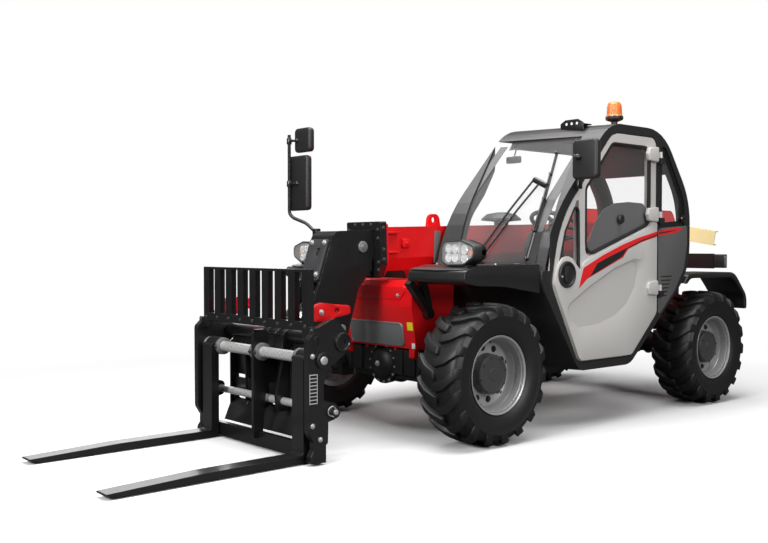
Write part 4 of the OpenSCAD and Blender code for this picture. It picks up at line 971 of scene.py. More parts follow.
def makeBoom():
    side, up = Vector((0, 1, 0)), boomAt(0, 0, 1) - boomAt(0, 0, 0)
    along = boomAt(1, 0, 0) - boomAt(0, 0, 0)
    front = collarSettings["front"]
    outer = roundCorners(collarSettings["flange"], 0.012, 3)
    inner = roundCorners(collarSettings["opening"], 0.003, 3)
    flange = framePiece(outer, inner, boomAt(2.645, 0, 0), side, up, 0.026, 0.003)
    ribs = []
    for s in (-1, 1):
        for z in (0.10, -0.02):
            low, high = sorted((s * 0.1155, s * 0.143))
            ribs.append(platePiece(collarSettings["rib"], boomAt(2.548, low, z), along, up, low - high,
                                   0.002))
    gather([flange, *ribs], "boomFlange", "boom", redPaint)
    places = [boomAt(front, s * 0.138, z) for s in (-1, 1) for z in collarSettings["boltRows"]]
    places += [boomAt(front, y, 0.152) for y in (-0.075, 0, 0.075)]
    places += [boomAt(front, y, -0.155) for y in (-0.05, 0.05)]
    bolts = [boltSet(places, along, 0.0075)]
    bolts += [boltSet([boomAt(2.696, s * 0.160, z) for z in (0.13, 0.0, -0.06)], (0, s, 0), 0.008)
              for s in (-1, 1)]
    gather(bolts, "collarBolts", "boom", headPlate)
    lug = boxPiece((-0.030, 0, -0.026), (0.030, 0.024, 0.026), 0.004)
    lug.data.transform(Matrix.Translation(boomAt(2.485, 0.113, 0.032)))
    cap = rodPiece(boomAt(2.485, 0.137, 0.032), boomAt(2.485, 0.143, 0.032), 0.010, 20, 0.001)
    gather([lug, cap], "boomLug", "boom", redPaint)
    guide = platePiece(roundCorners(collarSettings["guide"], 0.008), boomAt(2.190, 0.1148, 0), along, up,
                       -0.006, 0.0015)
    settle(guide, "boomGuide", "boom", panelGrey)


makeBoom()
print("boom ready")

# head: front plate with its oval hole and bolts, pin caps on both sides
headSettings = {
    "plate": [(-0.086, 0.012), (0.086, 0.012), (0.086, 0.266), (-0.086, 0.266)],
    "bolts": [(0.060, 0.245), (-0.060, 0.245), (0.060, 0.050), (-0.035, 0.050)],
    # along and above the boom, radius
    "pins": [(2.812, 0.020, 0.034), (2.985, -0.46, 0.026)], "capSides": (0.0985, 0.109, 0.113),
}


def makeHead():
    up = (boomAt(3.04, 0, 0.09) - boomAt(3.14, 0, -0.18)).normalized()
    base = boomAt(3.142, 0, -0.182)
    loop = roundCorners(headSettings["plate"], 0.012, 11)
    hole = ovalInside(loop, (0.02, 0.190), (0.086, 0.13), (0.020, 0.034))
    plate = paint(framePiece(loop, hole, base, (0, 1, 0), up, 0.012, 0.0025), headPlate)
    inside = paint(platePiece(hole, base, (0, 1, 0), up, 0.003), softRubber)
    out = Vector((0, 1, 0)).cross(up)
    places = [base + Vector((0, y, 0)) + up * s + out * 0.012 for y, s in headSettings["bolts"]]
    bolts = boltSet(places, out, 0.010)
    gather([plate, inside, paint(bolts, zincSteel)], "headFrontPlate", "telescope")
    caps = []
    for s in (-1, 1):
        for along, above, radius in headSettings["pins"]:
            low, mid, high = [boomAt(along, 0, above) + Vector((0, s * y, 0))
                              for y in headSettings["capSides"]]
            caps.append(rodPiece(low, mid, radius, 32, 0.002))
            caps.append(rodPiece(mid, high, radius * 0.45, 24, 0.001))
    gather(caps, "headPinCaps", "telescope", plateGrey)


makeHead()
print("head ready")

# fork carriage: latch levers, bolts, shaft collars, side plate fittings, scale marks, feet and hitch beams
carriageSettings = {
    "lever": [(0.262, 0.318), (0.262, 0.398), (0.200, 0.418), (0.120, 0.408), (0.012, 0.398),
              (0.006, 0.352), (0.110, 0.336), (0.160, 0.312), (0.212, 0.322)],
    "leverSides": [(0.485, 0.494), (0.506, 0.515), (-0.405, -0.396), (-0.384, -0.375)],
    "leverPins": [0.500, -0.390], "pinReach": 0.016,
    "beams": [(-0.335, -0.200, 0.060, -0.506, 0.365), (-0.185, -0.075, 0.0, -0.506, 0.365),
              (-0.060, 0.185, -0.020, -0.506, -0.128), (-0.060, 0.185, -0.020, 0.128, 0.365)],
    "collars": [-0.392, -0.026, 0.026, 0.392],
    "foot": [(0.222, -0.408), (0.322, -0.408), (0.322, -0.370), (0.290, -0.318), (0.222, -0.318)],
    "footSides": [(0.536, 0.578), (-0.578, -0.536)],
    "web": [(0.070, -0.290), (0.135, -0.320), (0.135, 0.150), (0.080, 0.150)],
    "webs": [-0.500, -0.330, -0.135, 0.135, 0.330],
    "tubeEnd": [(0.020, 0), (0.050, 0), (0.052, 0.004), (0.050, 0.012), (0.040, 0.014), (0.036, 0.006),
                (0.020, 0.006)],
    "slot": [(-0.010, -0.028), (0.010, -0.028), (0.010, 0.028), (-0.010, 0.028)],
    "plateBolts": ((0.312, 0.150), (0.312, -0.210), (0.262, -0.285)),
}


def makeLevers():
    plates = []
    pinX, pinZ = pinSettings["carriage"]
    outline = [(x + pinX, z + pinZ) for x, z in carriageSettings["lever"]]
    loop = roundCorners(outline, 0.016, 4)
    hole = ovalInside(loop, (outline[3][0] - 0.020, outline[3][1] - 0.034), (0.13, 0.05), (0.016, 0.016))
    for low, high in carriageSettings["leverSides"]:
        plates.append(sideFrame(loop, hole, low, high, 0.0015))
    pins, reach = carriageSettings["leverPins"], carriageSettings["pinReach"]
    rods = [rodPiece(carAt(0.205, y - reach, 0.368), carAt(0.205, y + reach, 0.368), 0.011, 20, 0.001)
            for y in pins]
    bolts = [boltSet([carAt(0.205, y + s * 0.015, 0.368)], (0, s, 0), 0.010) for y in pins for s in (-1, 1)]
    levers = paint(joinAll(plates, "levers"), redPaint)
    metal = paint(joinAll(rods + bolts, "leverBolts"), zincSteel)
    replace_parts(gather([levers, metal], "latchLevers", "carriage"), "latch_levers")


def makeShaftCollars():
    bars = [-0.5 + k * 0.125 for k in range(9)]
    bolts = [boltSet([carAt(0.300, y, 0.298) for y in bars], (1, 0, 0), 0.0075)]
    bolts.append(boltSet([carAt(0.300, s * 0.56, z) for s in (-1, 1) for z in (0.252, 0.280)], (1, 0, 0),
                         0.009))
    collars = []
    for y in carriageSettings["collars"]:
        collars.append(rodPiece(carAt(0.250, y - 0.012, 0.125),
                                carAt(0.250, y + 0.012, 0.125), 0.050, 40, 0.002))
        bolts.append(boltSet([carAt(0.300, y, 0.125)], (1, 0, 0), 0.008))
    gather(collars, "shaftCollars", "carriage", plateGrey)
    gather(bolts, "carriageBolts", "carriage", headPlate)


# places on a side plate of the carriage, the same on both sides
def plateAt(side, x, y, z):
    return carAt(x, side * y, z)


# a round boss on a side plate, from one distance out to another
def plateBoss(side, x, z, low, high, radius, sides, bevel):
    return rodPiece(plateAt(side, x, low, z), plateAt(side, x, high, z), radius, sides, bevel)


def makePlateFittings():
    fittings, bright, white = [], [], []
    for s in (-1, 1):
        tubeEnd = spunPiece(carriageSettings["tubeEnd"], plateAt(s, 0.117, 0.580, 0.212), (0, s, 0), 40)
        fittings.append(tubeEnd)
        loop = roundCorners(carriageSettings["slot"], 0.0099, 5)
        fittings.append(framePiece(insetLoop(loop, -0.008), loop, plateAt(s, 0.285, 0.580, 0.215),
                                   (-s, 0, 0), (0, 0, 1), 0.004, 0.001))
        fittings.append(plateBoss(s, 0.250, 0.125, 0.580, 0.596, 0.042, 36, 0.004))
        bright.append(plateBoss(s, 0.250, 0.125, 0.590, 0.602, 0.022, 28, 0.003))
        fittings.append(plateBoss(s, 0.175, -0.150, 0.580, 0.594, 0.034, 32, 0.003))
        bright.append(plateBoss(s, 0.175, -0.150, 0.588, 0.606, 0.014, 24, 0.003))
        bright.append(tubePiece([plateAt(s, 0.175, 0.600, -0.132), plateAt(s, 0.200, 0.604, -0.112),
                                 plateAt(s, 0.226, 0.600, -0.128), plateAt(s, 0.224, 0.598, -0.160),
                                 plateAt(s, 0.190, 0.600, -0.172)], 0.0028, 8, 0.02))
        bright.append(boltSet([plateAt(s, x, 0.580, z) for x, z in carriageSettings["plateBolts"]],
                              (0, s, 0), 0.009))
        for x in (0.282, 0.330):
            white.append(boxPiece(plateAt(s, x - 0.0015, 0.5800, -0.098),
                                  plateAt(s, x + 0.0015, 0.5806, 0.058)))
        for k in range(9):
            z = -0.094 + k * 0.0185
            white.append(boxPiece(plateAt(s, 0.282, 0.5800, z - 0.0018),
                                  plateAt(s, 0.330, 0.5806, z + 0.0018)))
    gather(fittings, "plateFittings", "carriage", forkPaint)
    gather(bright, "plateShaftEnds", "carriage", zincSteel)
    gather(white, "scaleMarks", "carriage", labelWhite)


def makeFrameFeet():
    pinX, pinZ = pinSettings["carriage"]
    loop = roundCorners([(x + pinX, z + pinZ) for x, z in carriageSettings["foot"]], 0.012)
    foot = [sidePlate(loop, low, high, 0.004) for low, high in carriageSettings["footSides"]]
    gather(foot, "frameFeet", "carriage", forkPaint)


def makeHitchBeams():
    beams = []
    for low, high, lean, right, left in carriageSettings["beams"]:
        outline = [(0.098 + lean, low), (0.118 + lean, low), (0.118, high), (0.098, high)]
        beams.append(platePiece(outline, carAt(0, right, 0), (1, 0, 0), (0, 0, 1), right - left, 0.004))
    web = roundCorners(carriageSettings["web"], 0.02, 4)
    for y in carriageSettings["webs"]:
        beams.append(platePiece(web, carAt(0, y - 0.006, 0), (1, 0, 0), (0, 0, 1), -0.012, 0.002))
    gather(beams, "hitchBeams", "carriage", forkPaint)


makeLevers()
makeShaftCollars()
makePlateFittings()
makeFrameFeet()
makeHitchBeams()
print("carriage ready")

# mirrors: rounded housings with glass behind, on bent tubes
mirrorSettings = {
    "heads": [(-0.680, 0.880, 1.065, 1.540, 1.780), (0.045, -1.065, -0.835, 1.390, 1.775),
              (0.045, -0.985, -0.805, 1.795, 1.965)],
    "arm": [(-0.712, 0.874, 1.505), (-0.712, 0.874, 1.672), (-0.690, 0.880, 1.690),
            (-0.624, 0.900, 1.684), (-0.620, 0.935, 1.674)],
    "stalk": [(0.040, -0.790, 1.036), (0.040, -0.790, 1.230), (0.060, -0.880, 1.300),
              (0.100, -0.985, 1.340), (0.104, -1.024, 1.372), (0.104, -1.024, 1.925)],
    "foot": [(0, 0), (0.032, 0), (0.032, 0.010), (0.022, 0.022), (0.014, 0.060), (0, 0.060)],
}


def makeMirrors():
    parts = []
    for x, y0, y1, z0, z1 in mirrorSettings["heads"]:
        loop = roundCorners([(y0, z0), (y1, z0), (y1, z1), (y0, z1)], 0.030, 5)
        parts.append(paint(facePlate(loop, x + 0.004, x + 0.045, 0.014, 4), blackPlastic))
        parts.append(paint(facePlate(insetLoop(loop, 0.003), x, x + 0.006, 0.002), blackPlastic))
        parts.append(paint(facePlate(insetLoop(loop, 0.014), x - 0.001, x + 0.001), chromeBowl))
    tubes = [tubePiece([at(*p) for p in mirrorSettings["arm"]], 0.010, 16, 0.03),
             tubePiece([at(*p) for p in mirrorSettings["stalk"]], 0.012, 16),
             boxPiece(at(-0.732, 0.861, 1.488), at(-0.690, 0.890, 1.534), 0.005),
             ballPiece(at(-0.624, 0.935, 1.674), 0.019),
             spunPiece(mirrorSettings["foot"], at(0.040, -0.790, 1.030), (0, 0, 1), 32)]
    for z in (1.580, 1.880):
        tubes.append(tubePiece([at(0.104, -1.024, z), at(0.104, -0.975, z), at(0.084, -0.950, z)], 0.009,
                               12, 0.02))
        tubes.append(rodPiece(at(0.104, -1.024, z - 0.022), at(0.104, -1.024, z + 0.022), 0.018, 24, 0.003))
        tubes.append(ballPiece(at(0.090, -0.950, z), 0.016))
    tubes.append(boxPiece(at(0.018, -0.812, 1.195), at(0.062, -0.768, 1.262), 0.006))
    parts.append(paint(joinAll(tubes, "mirrorArms"), blackPaint))
    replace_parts(gather(parts, "mirrorSet", "chassis"), "mirrors")


makeMirrors()

# beacon: flared black base, ribbed amber dome over a dark core
beaconSettings = {
    "place": (-1.590, 0.5075, 1.925),
    "base": [(0, 0), (0.056, 0), (0.056, 0.012), (0.028, 0.024), (0.022, 0.040), (0.022, 0.084),
             (0.058, 0.098), (0.062, 0.108), (0.061, 0.121), (0, 0.121)],
    "top": [(0.0480, 0.203), (0.0440, 0.212), (0.036, 0.2205), (0.020, 0.2250), (0, 0.2259)],
}


def makeBeacon():
    spot = at(*beaconSettings["place"])
    base = spunPiece(beaconSettings["base"], spot, (0, 0, 1), 48)
    wall = [(0, 0.120), (0.0575, 0.120), (0.0575, 0.127)]
    for k in range(9):
        z = 0.131 + k * 0.0078
        wall += [(0.0545 - k * 0.0005, z), (0.0525 - k * 0.0005, z + 0.004)]
    wall += beaconSettings["top"]
    dome = spunPiece(wall, spot, (0, 0, 1), 48)
    core = rodPiece(spot + Vector((0, 0, 0.119)), spot + Vector((0, 0, 0.190)), 0.026, 28, 0.004)
    settle(dome, "beaconDome", "chassis", amberGlass, smooth=20)
    rest = joinAll([paint(base, blackPlastic), paint(core, castBlack)], "beaconBase")
    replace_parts(settle(rest, "beaconBase", "chassis"), "beacon")


makeBeacon()

# roof: bracket plate with holes above the mirror, and the bar that runs back to the beacon
roofSettings = {
    "plate": [(0.520, 1.890), (0.705, 1.884), (0.705, 1.936), (0.660, 1.962), (0.560, 1.962),
              (0.520, 1.940)],
    "shelf": [(-1.110, 0.530), (-0.980, 0.530), (-0.980, 0.700), (-1.080, 0.700)],
}


def makeRoof():
    loop = roundCorners(roofSettings["plate"], 0.010, 4)
    plate = facePlate(loop, -0.985, -0.979, 0.001)
    shelf = topPlate(roundCorners(roofSettings["shelf"], 0.012), 1.926, 1.932, 0.001)
    bar = boxPiece(at(-1.560, 0.545, 1.9255), at(-1.080, 0.580, 1.942), 0.004)
    holes = [paint(rodPiece(at(-0.9795, y, 1.934), at(-0.9782, y, 1.934), 0.009, 24), labelWhite)
             for y in (0.570, 0.612, 0.654)]
    dark = paint(joinAll([plate, shelf, bar], "roofBracket"), blackPaint)
    gather([dark, *holes], "roofBracket", "chassis")


makeRoof()

# windscreen wiper: twin arms and a long blade that follow the glass, and the mirror inside
wiperSettings = {
    # which way the glass looks, under and over its bend
    "low": (0.867, 0.240, 0.437), "high": (0.724, 0.200, 0.661), "bend": 1.45,
    # foot x and y, then the top end's y and z
    "arms": [(-0.250, 0.420, 0.600, 1.532), (-0.258, 0.462, 0.650, 1.512)], "armTop": -0.634,
    "blade": [(-0.390, 0.741, 1.055), (-0.453, 0.749, 1.224), (-0.571, 0.728, 1.421),
              (-0.690, 0.680, 1.575), (-0.816, 0.623, 1.721)],
}


def onGlass(point, lift):
    side = Vector(wiperSettings["low" if point[2] < wiperSettings["bend"] else "high"])
    return at(*point) + side * lift


def makeWiper():
    path = wiperSettings["blade"]
    parts = [tubePiece([onGlass(p, 0.006) for p in path], 0.0090, 8, 0.02),
             tubePiece([onGlass(p, 0.024) for p in path[1:-1]], 0.0075, 8, 0.02)]
    for p in path:
        parts.append(rodPiece(onGlass(p, 0.002), onGlass(p, 0.030), 0.010, 10, 0.002))
    for x, y, endY, endZ in wiperSettings["arms"]:
        base, top = at(x, y, 1.036), onGlass((wiperSettings["armTop"], endY, endZ), 0.034)
        mid = base + (top - base) * 0.5 + Vector((0.012, 0.004, 0.010))
        parts.append(tubePiece([base, mid, top], 0.0070, 10, 0.2))
        parts.append(rodPiece(base - Vector((0.014, 0.004, 0.010)),
                              base + Vector((0.014, 0.004, 0.010)), 0.016, 20, 0.003))
    parts.append(tubePiece([onGlass((-0.640, 0.600, 1.535), 0.030), onGlass((-0.628, 0.705, 1.492), 0.028)],
                           0.020, 12))
    parts.append(boxPiece(at(-0.290, 0.395, 1.026), at(-0.225, 0.485, 1.046), 0.006))
    gather(parts, "screenWiper", "chassis", blackPaint)
    glass = paint(boxPiece(at(-0.835, 0.196, 1.692), at(-0.806, 0.316, 1.738), 0.010, 3), blackPlastic)
    stem = paint(tubePiece([at(-0.822, 0.256, 1.730), at(-0.850, 0.256, 1.800), at(-0.905, 0.256, 1.846)],
                           0.005, 8), blackPlastic)
    gather([glass, stem], "roomMirror", "chassis")


makeWiper()

# dark borders of the windscreen, bent as the glass is
screenSettings = {
    "bends": [(1.030, -0.381), (1.055, -0.390), (1.224, -0.451), (1.420, -0.574), (1.575, -0.716),
              (1.720, -0.849), (1.800, -0.926)],
    "yaw": -0.277, "yawFrom": 0.741, "borders": [(0.738, 0.800), (0.186, 0.236)],
}


def makeScreenBorders():
    strips = []
    yaw = screenSettings["yaw"]
    for y0, y1 in screenSettings["borders"]:
        for (z0, x0), (z1, x1) in zip(screenSettings["bends"], screenSettings["bends"][1:]):
            rise = Vector(((x1 - x0) / (z1 - z0), 0, 1))
            low = at(x0 + yaw * (y0 - screenSettings["yawFrom"]) + 0.002, y0, z0)
            strips.append(platePiece([(0, 0), (y1 - y0, 0), (y1 - y0, z1 - z0), (0, z1 - z0)], low,
                                     (yaw, 1, 0), rise, 0.003))
    gather(strips, "screenBorders", "chassis", blackPaint)


makeScreenBorders()
print("mirrors, beacon, roof and wipers ready")

# left rear quarter: grey panel with stripe and slots, dark band round its glass and a knob
quarterSettings = {
    "panel": [(-1.596, 0.660), (-1.800, 0.835), (-1.915, 0.985), (-1.952, 1.150), (-1.952, 1.284),
              (-1.620, 1.262), (-1.596, 1.250)],
    "pane": [(-1.625, 0.985), (-1.625, 1.810), (-1.685, 1.810), (-1.925, 1.450), (-1.925, 1.075),
             (-1.860, 0.985)],
    "clear": [(-1.655, 1.300), (-1.655, 1.770), (-1.672, 1.770), (-1.868, 1.470), (-1.868, 1.335),
              (-1.850, 1.314)],
    "red": [(-1.598, 1.244), (-1.720, 1.258), (-1.888, 1.272), (-1.858, 1.242), (-1.720, 1.222),
            (-1.598, 1.210)],
    "dark": [(-1.598, 1.230), (-1.720, 1.244), (-1.826, 1.254), (-1.720, 1.236), (-1.598, 1.222)],
    "knob": [(0, 0), (0.012, 0), (0.014, 0.006), (0.024, 0.010), (0.025, 0.018), (0.018, 0.024),
             (0, 0.025)],
}


def makeQuarter():
    panel = paint(sidePlate(roundCorners(quarterSettings["panel"], 0.02, 4), 0.8596, 0.8640, 0.0015),
                  panelGrey)
    red = paint(sidePlate(quarterSettings["red"], 0.8638, 0.8648), stripeRed)
    dark = paint(sidePlate(quarterSettings["dark"], 0.8638, 0.8654), stripeBlack)
    slots = [paint(boxPiece(at(-1.700 - 0.012 * k, 0.8636, 0.800 + 0.026 * k),
                            at(-1.630, 0.8652, 0.808 + 0.026 * k), 0.0006), blackPlastic) for k in range(6)]
    gather([panel, red, dark, *slots], "quarterPanel", "chassis")
    outer = roundCorners(quarterSettings["pane"], 0.05, 5)
    inner = roundCorners(quarterSettings["clear"], 0.03, 5)
    band = sideFrame(outer, inner, 0.8462, 0.8510, 0.001)
    knob = spunPiece(quarterSettings["knob"], at(-1.890, 0.850, 1.330), (0, 1, 0), 28)
    gather([band, knob], "quarterBand", "chassis", blackPaint)


makeQuarter()

# cowls: rounded shells, lips in front of the lamps, slot, plug and bolts
cowlSettings = {
    "round": 0.022,
    "lip": [(0.400, 0.004), (0.620, -0.004), (0.800, 0.012), (0.842, 0.046), (0.760, 0.060),
            (0.400, 0.052)],
    "plug": [(0, 0), (0.026, 0), (0.027, 0.004), (0.020, 0.008), (0.018, 0.004), (0, 0.004)],
    "bolts": ((0.060, 0.430), (-0.300, 0.430), (-0.020, 0.822)),
    "slotOuter": [(-0.196, 0.736), (-0.124, 0.736), (-0.124, 0.798), (-0.196, 0.798)],
    "slotInner": [(-0.190, 0.742), (-0.130, 0.742), (-0.130, 0.792), (-0.190, 0.792)],
}


# the shells of the cowls with rounded edges
def makeCowlShells():
    piece = fixNormals(copyPiece(nodes["front_cowls"]))
    openMesh(piece)
    bpy.ops.mesh.dissolve_limited(angle_limit=math.radians(4))
    closeMesh()
    bevelEdges(piece, cowlSettings["round"], 4, 40)
    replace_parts(settle(piece, "cowlShells", "chassis", fenderBlack, smooth=50), "front_cowls")


def makeCowls():
    makeCowlShells()
    up = Vector((-0.132, 0, 0.030)).normalized()
    lips = platePiece(roundCorners(cowlSettings["lip"], 0.010, 4), at(0.2525, 0, 0.9995),
                      (0, 1, 0), up, 0.004, 0.0012)
    gather([lips, mirrored(lips)], "cowlLips", "chassis", headPlate)
    slot = paint(boxPiece(at(-0.190, 0.742, 1.0290), at(-0.130, 0.792, 1.0318), 0.001), softRubber)
    frameBox = framePiece(cowlSettings["slotOuter"], cowlSettings["slotInner"], at(0, 0, 1.0295), (1, 0, 0),
                          (0, 1, 0), 0.0045, 0.001)
    plug = spunPiece(cowlSettings["plug"], at(-0.262, 0.770, 1.0298), (0, 0, 1), 32)
    rest = paint(joinAll([frameBox, plug], "cowlPlug"), blackPlastic)
    bolts = boltSet([at(x, s * y, 1.0298) for s in (-1, 1) for x, y in cowlSettings["bolts"]], (0, 0, 1),
                    0.007)
    gather([rest, slot, paint(bolts, zincSteel)], "cowlFittings", "chassis")


makeCowls()

# rear fenders: thin arched shells with a rolled lip and stays
fenderSettings = {
    "outer": [(-1.910, 0.880), (-1.970, 0.950), (-2.590, 0.950), (-2.772, 0.770), (-2.772, 0.670)],
    "inner": [(-2.758, 0.670), (-2.758, 0.770), (-2.576, 0.936), (-1.984, 0.936), (-1.924, 0.880)],
    "lip": [(-2.738, 0.675), (-2.738, 0.775), (-2.566, 0.914), (-1.994, 0.914), (-1.946, 0.874)],
}


def makeFenders():
    shell = sidePlate(roundCorners(fenderSettings["outer"] + fenderSettings["inner"], 0.16, 7), 0.570,
                      0.866, 0.003)
    lip = sidePlate(roundCorners(fenderSettings["outer"] + fenderSettings["lip"], 0.16, 7),
                    0.860, 0.872, 0.005, 3)
    stay = [boxPiece(at(-2.440, 0.330, 0.910), at(-2.360, 0.590, 0.950), 0.006),
            boxPiece(at(-2.440, 0.270, 0.910), at(-2.360, 0.330, 0.960), 0.006)]
    left = joinAll([shell, lip, *stay], "fender")
    piece = paint(joinAll([left, mirrored(left)], "fenders"), fenderBlack)
    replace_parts(settle(piece, "fenderShells", "chassis", smooth=40), "rear_fenders")


makeFenders()
print("quarter, cowls and fenders ready")

# seat: two cloth cushions swollen by pressure, with sewn channels, on a ribbed base
seatSettings = {
    "voxel": 0.006, "pressure": 4.0, "frames": 20, "cap": 0.024, "shrink": 0.012, "side": (0.302, 0.713),
    "pad": [(-1.590, 0.815), (-1.105, 0.810), (-1.095, 0.922), (-1.500, 0.908), (-1.560, 0.925)],
    "back": [(-1.605, 0.905), (-1.512, 0.915), (-1.585, 1.325), (-1.678, 1.362), (-1.694, 1.250)],
    "base": [(-1.200, 0.410), (-1.122, 0.410), (-1.122, 0.808), (-1.590, 0.808), (-1.450, 0.660)],
    "channels": [0.395, 0.452, 0.563, 0.620], "channelWidth": 0.009, "channelDepth": 0.007,
    "ribs": 6, "firstRib": 0.690, "ribStep": 0.018,
    "shell": [(-1.612, 0.905), (-1.596, 0.905), (-1.690, 1.300), (-1.706, 1.262)],
}


def swell(piece):
    scene = bpy.context.scene
    remesh = piece.modifiers.new("voxels", "REMESH")
    remesh.mode = "VOXEL"
    remesh.voxel_size = seatSettings["voxel"]
    applyModifiers(piece)
    rest = [v.co.copy() for v in piece.data.vertices]
    cloth = piece.modifiers.new("swell", "CLOTH")
    cloth.settings.use_pressure = True
    cloth.settings.uniform_pressure_force = seatSettings["pressure"]
    cloth.settings.effector_weights.gravity = 0
    cloth.point_cache.frame_start = 1
    cloth.point_cache.frame_end = seatSettings["frames"]
    for step in range(1, seatSettings["frames"] + 1):
        scene.frame_set(step)
    applyModifiers(piece)
    scene.frame_set(1)
    for vert, old in zip(piece.data.vertices, rest):
        move = vert.co - old
        if move.length > seatSettings["cap"]:
            vert.co = old + move.normalized() * seatSettings["cap"]
    return piece


def makeCushion(name, outline, facing):
    low, high = seatSettings["side"]
    loop = insetLoop(roundCorners(outline, 0.035, 4), seatSettings["shrink"])
    piece = swell(sidePlate(loop, low + seatSettings["shrink"], high - seatSettings["shrink"], 0.022, 3))
    for vert, normal in [(v, v.normal.copy()) for v in piece.data.vertices]:
        if normal.dot(facing) < 0.35:
            continue
        near = min(abs(vert.co.y - c) for c in seatSettings["channels"])
        if near < seatSettings["channelWidth"]:
            dip = math.cos(near / seatSettings["channelWidth"] * math.pi / 2)
            vert.co -= normal * seatSettings["channelDepth"] * dip
    smooth = piece.modifiers.new("smooth", "SUBSURF")
    smooth.levels = 1
    smooth.render_levels = 1
    applyModifiers(piece)
    settle(piece, name, "chassis", seatCloth, smooth=80)
    return piece


def makeSeat():
    pad = makeCushion("seatPad", seatSettings["pad"], Vector((0, 0, 1)))
    makeCushion("seatBack", seatSettings["back"], Vector((1, 0, 0.2)).normalized())
    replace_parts(pad, "seat")
    base = sidePlate(roundCorners(seatSettings["base"], 0.012, 3), 0.335, 0.680, 0.006)
    ribs = []
    for k in range(seatSettings["ribs"]):
        z = seatSettings["firstRib"] + k * seatSettings["ribStep"]
        ribs.append(boxPiece(at(-1.420, 0.322, z), at(-1.128, 0.693, z + 0.009), 0.004))
    shell = sidePlate(roundCorners(seatSettings["shell"], 0.006, 3), 0.310, 0.705, 0.004)
    rails = [boxPiece(at(-1.480, y, 0.800), at(-1.110, y + 0.030, 0.816), 0.003) for y in (0.345, 0.640)]
    rest = paint(joinAll([base, *ribs, shell, *rails], "seatBase"), blackPlastic)
    settle(rest, "seatBase", "chassis")


makeSeat()
print("seat ready")

# steering wheel with spinner knob, column boot, instrument pod, lever, pedals and mat
cabSettings = {
    "hub": (-0.960, 0.5075, 1.280), "tilt": math.radians(28), "radius": 0.171, "rim": 0.0145,
    "spoke": [(0.030, -0.022), (0.168, -0.013), (0.168, 0.013), (0.030, 0.022)],
    "pod": [(-0.915, 1.060), (-0.790, 1.020), (-0.742, 1.130), (-0.800, 1.238), (-0.905, 1.205)],
    "pedal": [(0, 0), (0.090, 0), (0.090, 0.130), (0, 0.130)], "pedalRows": (0.360, 0.640),
    "boss": [(0, -0.024), (0.050, -0.024), (0.056, -0.010), (0.054, 0.012), (0.044, 0.023), (0, 0.025)],
    "boot": [(0.036, 0), (0.075, 0), (0.075, 0.010), (0.058, 0.030), (0.064, 0.045), (0.050, 0.062),
             (0.056, 0.076), (0.041, 0.100), (0.036, 0.100)],
    "gauge": [(0, 0), (0.030, 0), (0.032, 0.004), (0.036, 0.004), (0.036, -0.006), (0, -0.006)],
    "leverBoot": [(0, 0), (0.046, 0), (0.046, 0.008), (0.034, 0.022), (0.038, 0.032), (0.026, 0.046),
                  (0.030, 0.056), (0.016, 0.078), (0, 0.078)],
    "leverGrip": [(0, 0), (0.018, 0), (0.021, 0.030), (0.018, 0.060), (0.024, 0.085), (0.022, 0.104),
                  (0.010, 0.112), (0, 0.113)],
}


def makeSteeringWheel():
    hub = at(*cabSettings["hub"])
    turn = Matrix.Translation(hub) @ Matrix.Rotation(-cabSettings["tilt"], 4, "Y")
    clearAll()
    bpy.ops.mesh.primitive_torus_add(major_radius=cabSettings["radius"], minor_radius=cabSettings["rim"],
                                     major_segments=64, minor_segments=14)
    parts = [bpy.context.object]
    parts.append(spunPiece(cabSettings["boss"], (0, 0, 0), (0, 0, 1), 40))
    spoke = platePiece(roundCorners(cabSettings["spoke"], 0.008, 3), (0, 0, -0.006), (1, 0, 0),
                       (0, 1, 0), 0.012, 0.004)
    parts += [copyPiece(spoke, Matrix.Rotation(k * 2 * math.pi / 3, 4, "Z")) for k in range(3)]
    bpy.data.objects.remove(spoke)
    knob = rodPiece((0.120, 0.120, 0.010), (0.120, 0.120, 0.052), 0.020, 24, 0.007, 0.024)
    wheel = joinAll([*parts, knob], "steeringWheel")
    wheel.data.transform(turn)
    return wheel


def makeSteering():
    middle = cabSettings["hub"][1]
    wheel = makeSteeringWheel()
    column = rodPiece(at(-0.812, middle, 0.380), at(-0.955, middle, 1.262), 0.040, 32, 0.004)
    boot = spunPiece(cabSettings["boot"], at(-0.806, middle, 0.372), (-0.16, 0, 0.987), 32)
    pod = sidePlate(roundCorners(cabSettings["pod"], 0.03, 4), 0.400, 0.615, 0.014, 3)
    stick = rodPiece(at(-0.900, 0.615, 1.180), at(-0.915, 0.700, 1.200), 0.008, 12, 0.002, 0.010)
    steer = gather([wheel, column, boot, pod, stick], "steeringSet", "chassis", blackPlastic)
    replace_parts(steer, "steering")


def makeControls():
    gauges = [spunPiece(cabSettings["gauge"], at(-0.860, y, 1.2225), (-0.30, 0, 0.954), 28)
              for y in (0.455, 0.560)]
    gather(gauges, "gauges", "chassis", headPlate)
    lever = [spunPiece(cabSettings["leverBoot"], at(-1.050, 0.233, 0.984), (0, 0, 1), 32),
             spunPiece(cabSettings["leverGrip"], at(-1.050, 0.233, 1.052), (0, 0, 1), 28)]
    lever += [rodPiece(at(x, y, 0.984), at(x, y, 0.994), 0.011, 20, 0.002) for x in (-0.960, -0.900, -0.840)
              for y in (0.215, 0.250)]
    gather(lever, "boomLever", "chassis", softRubber)


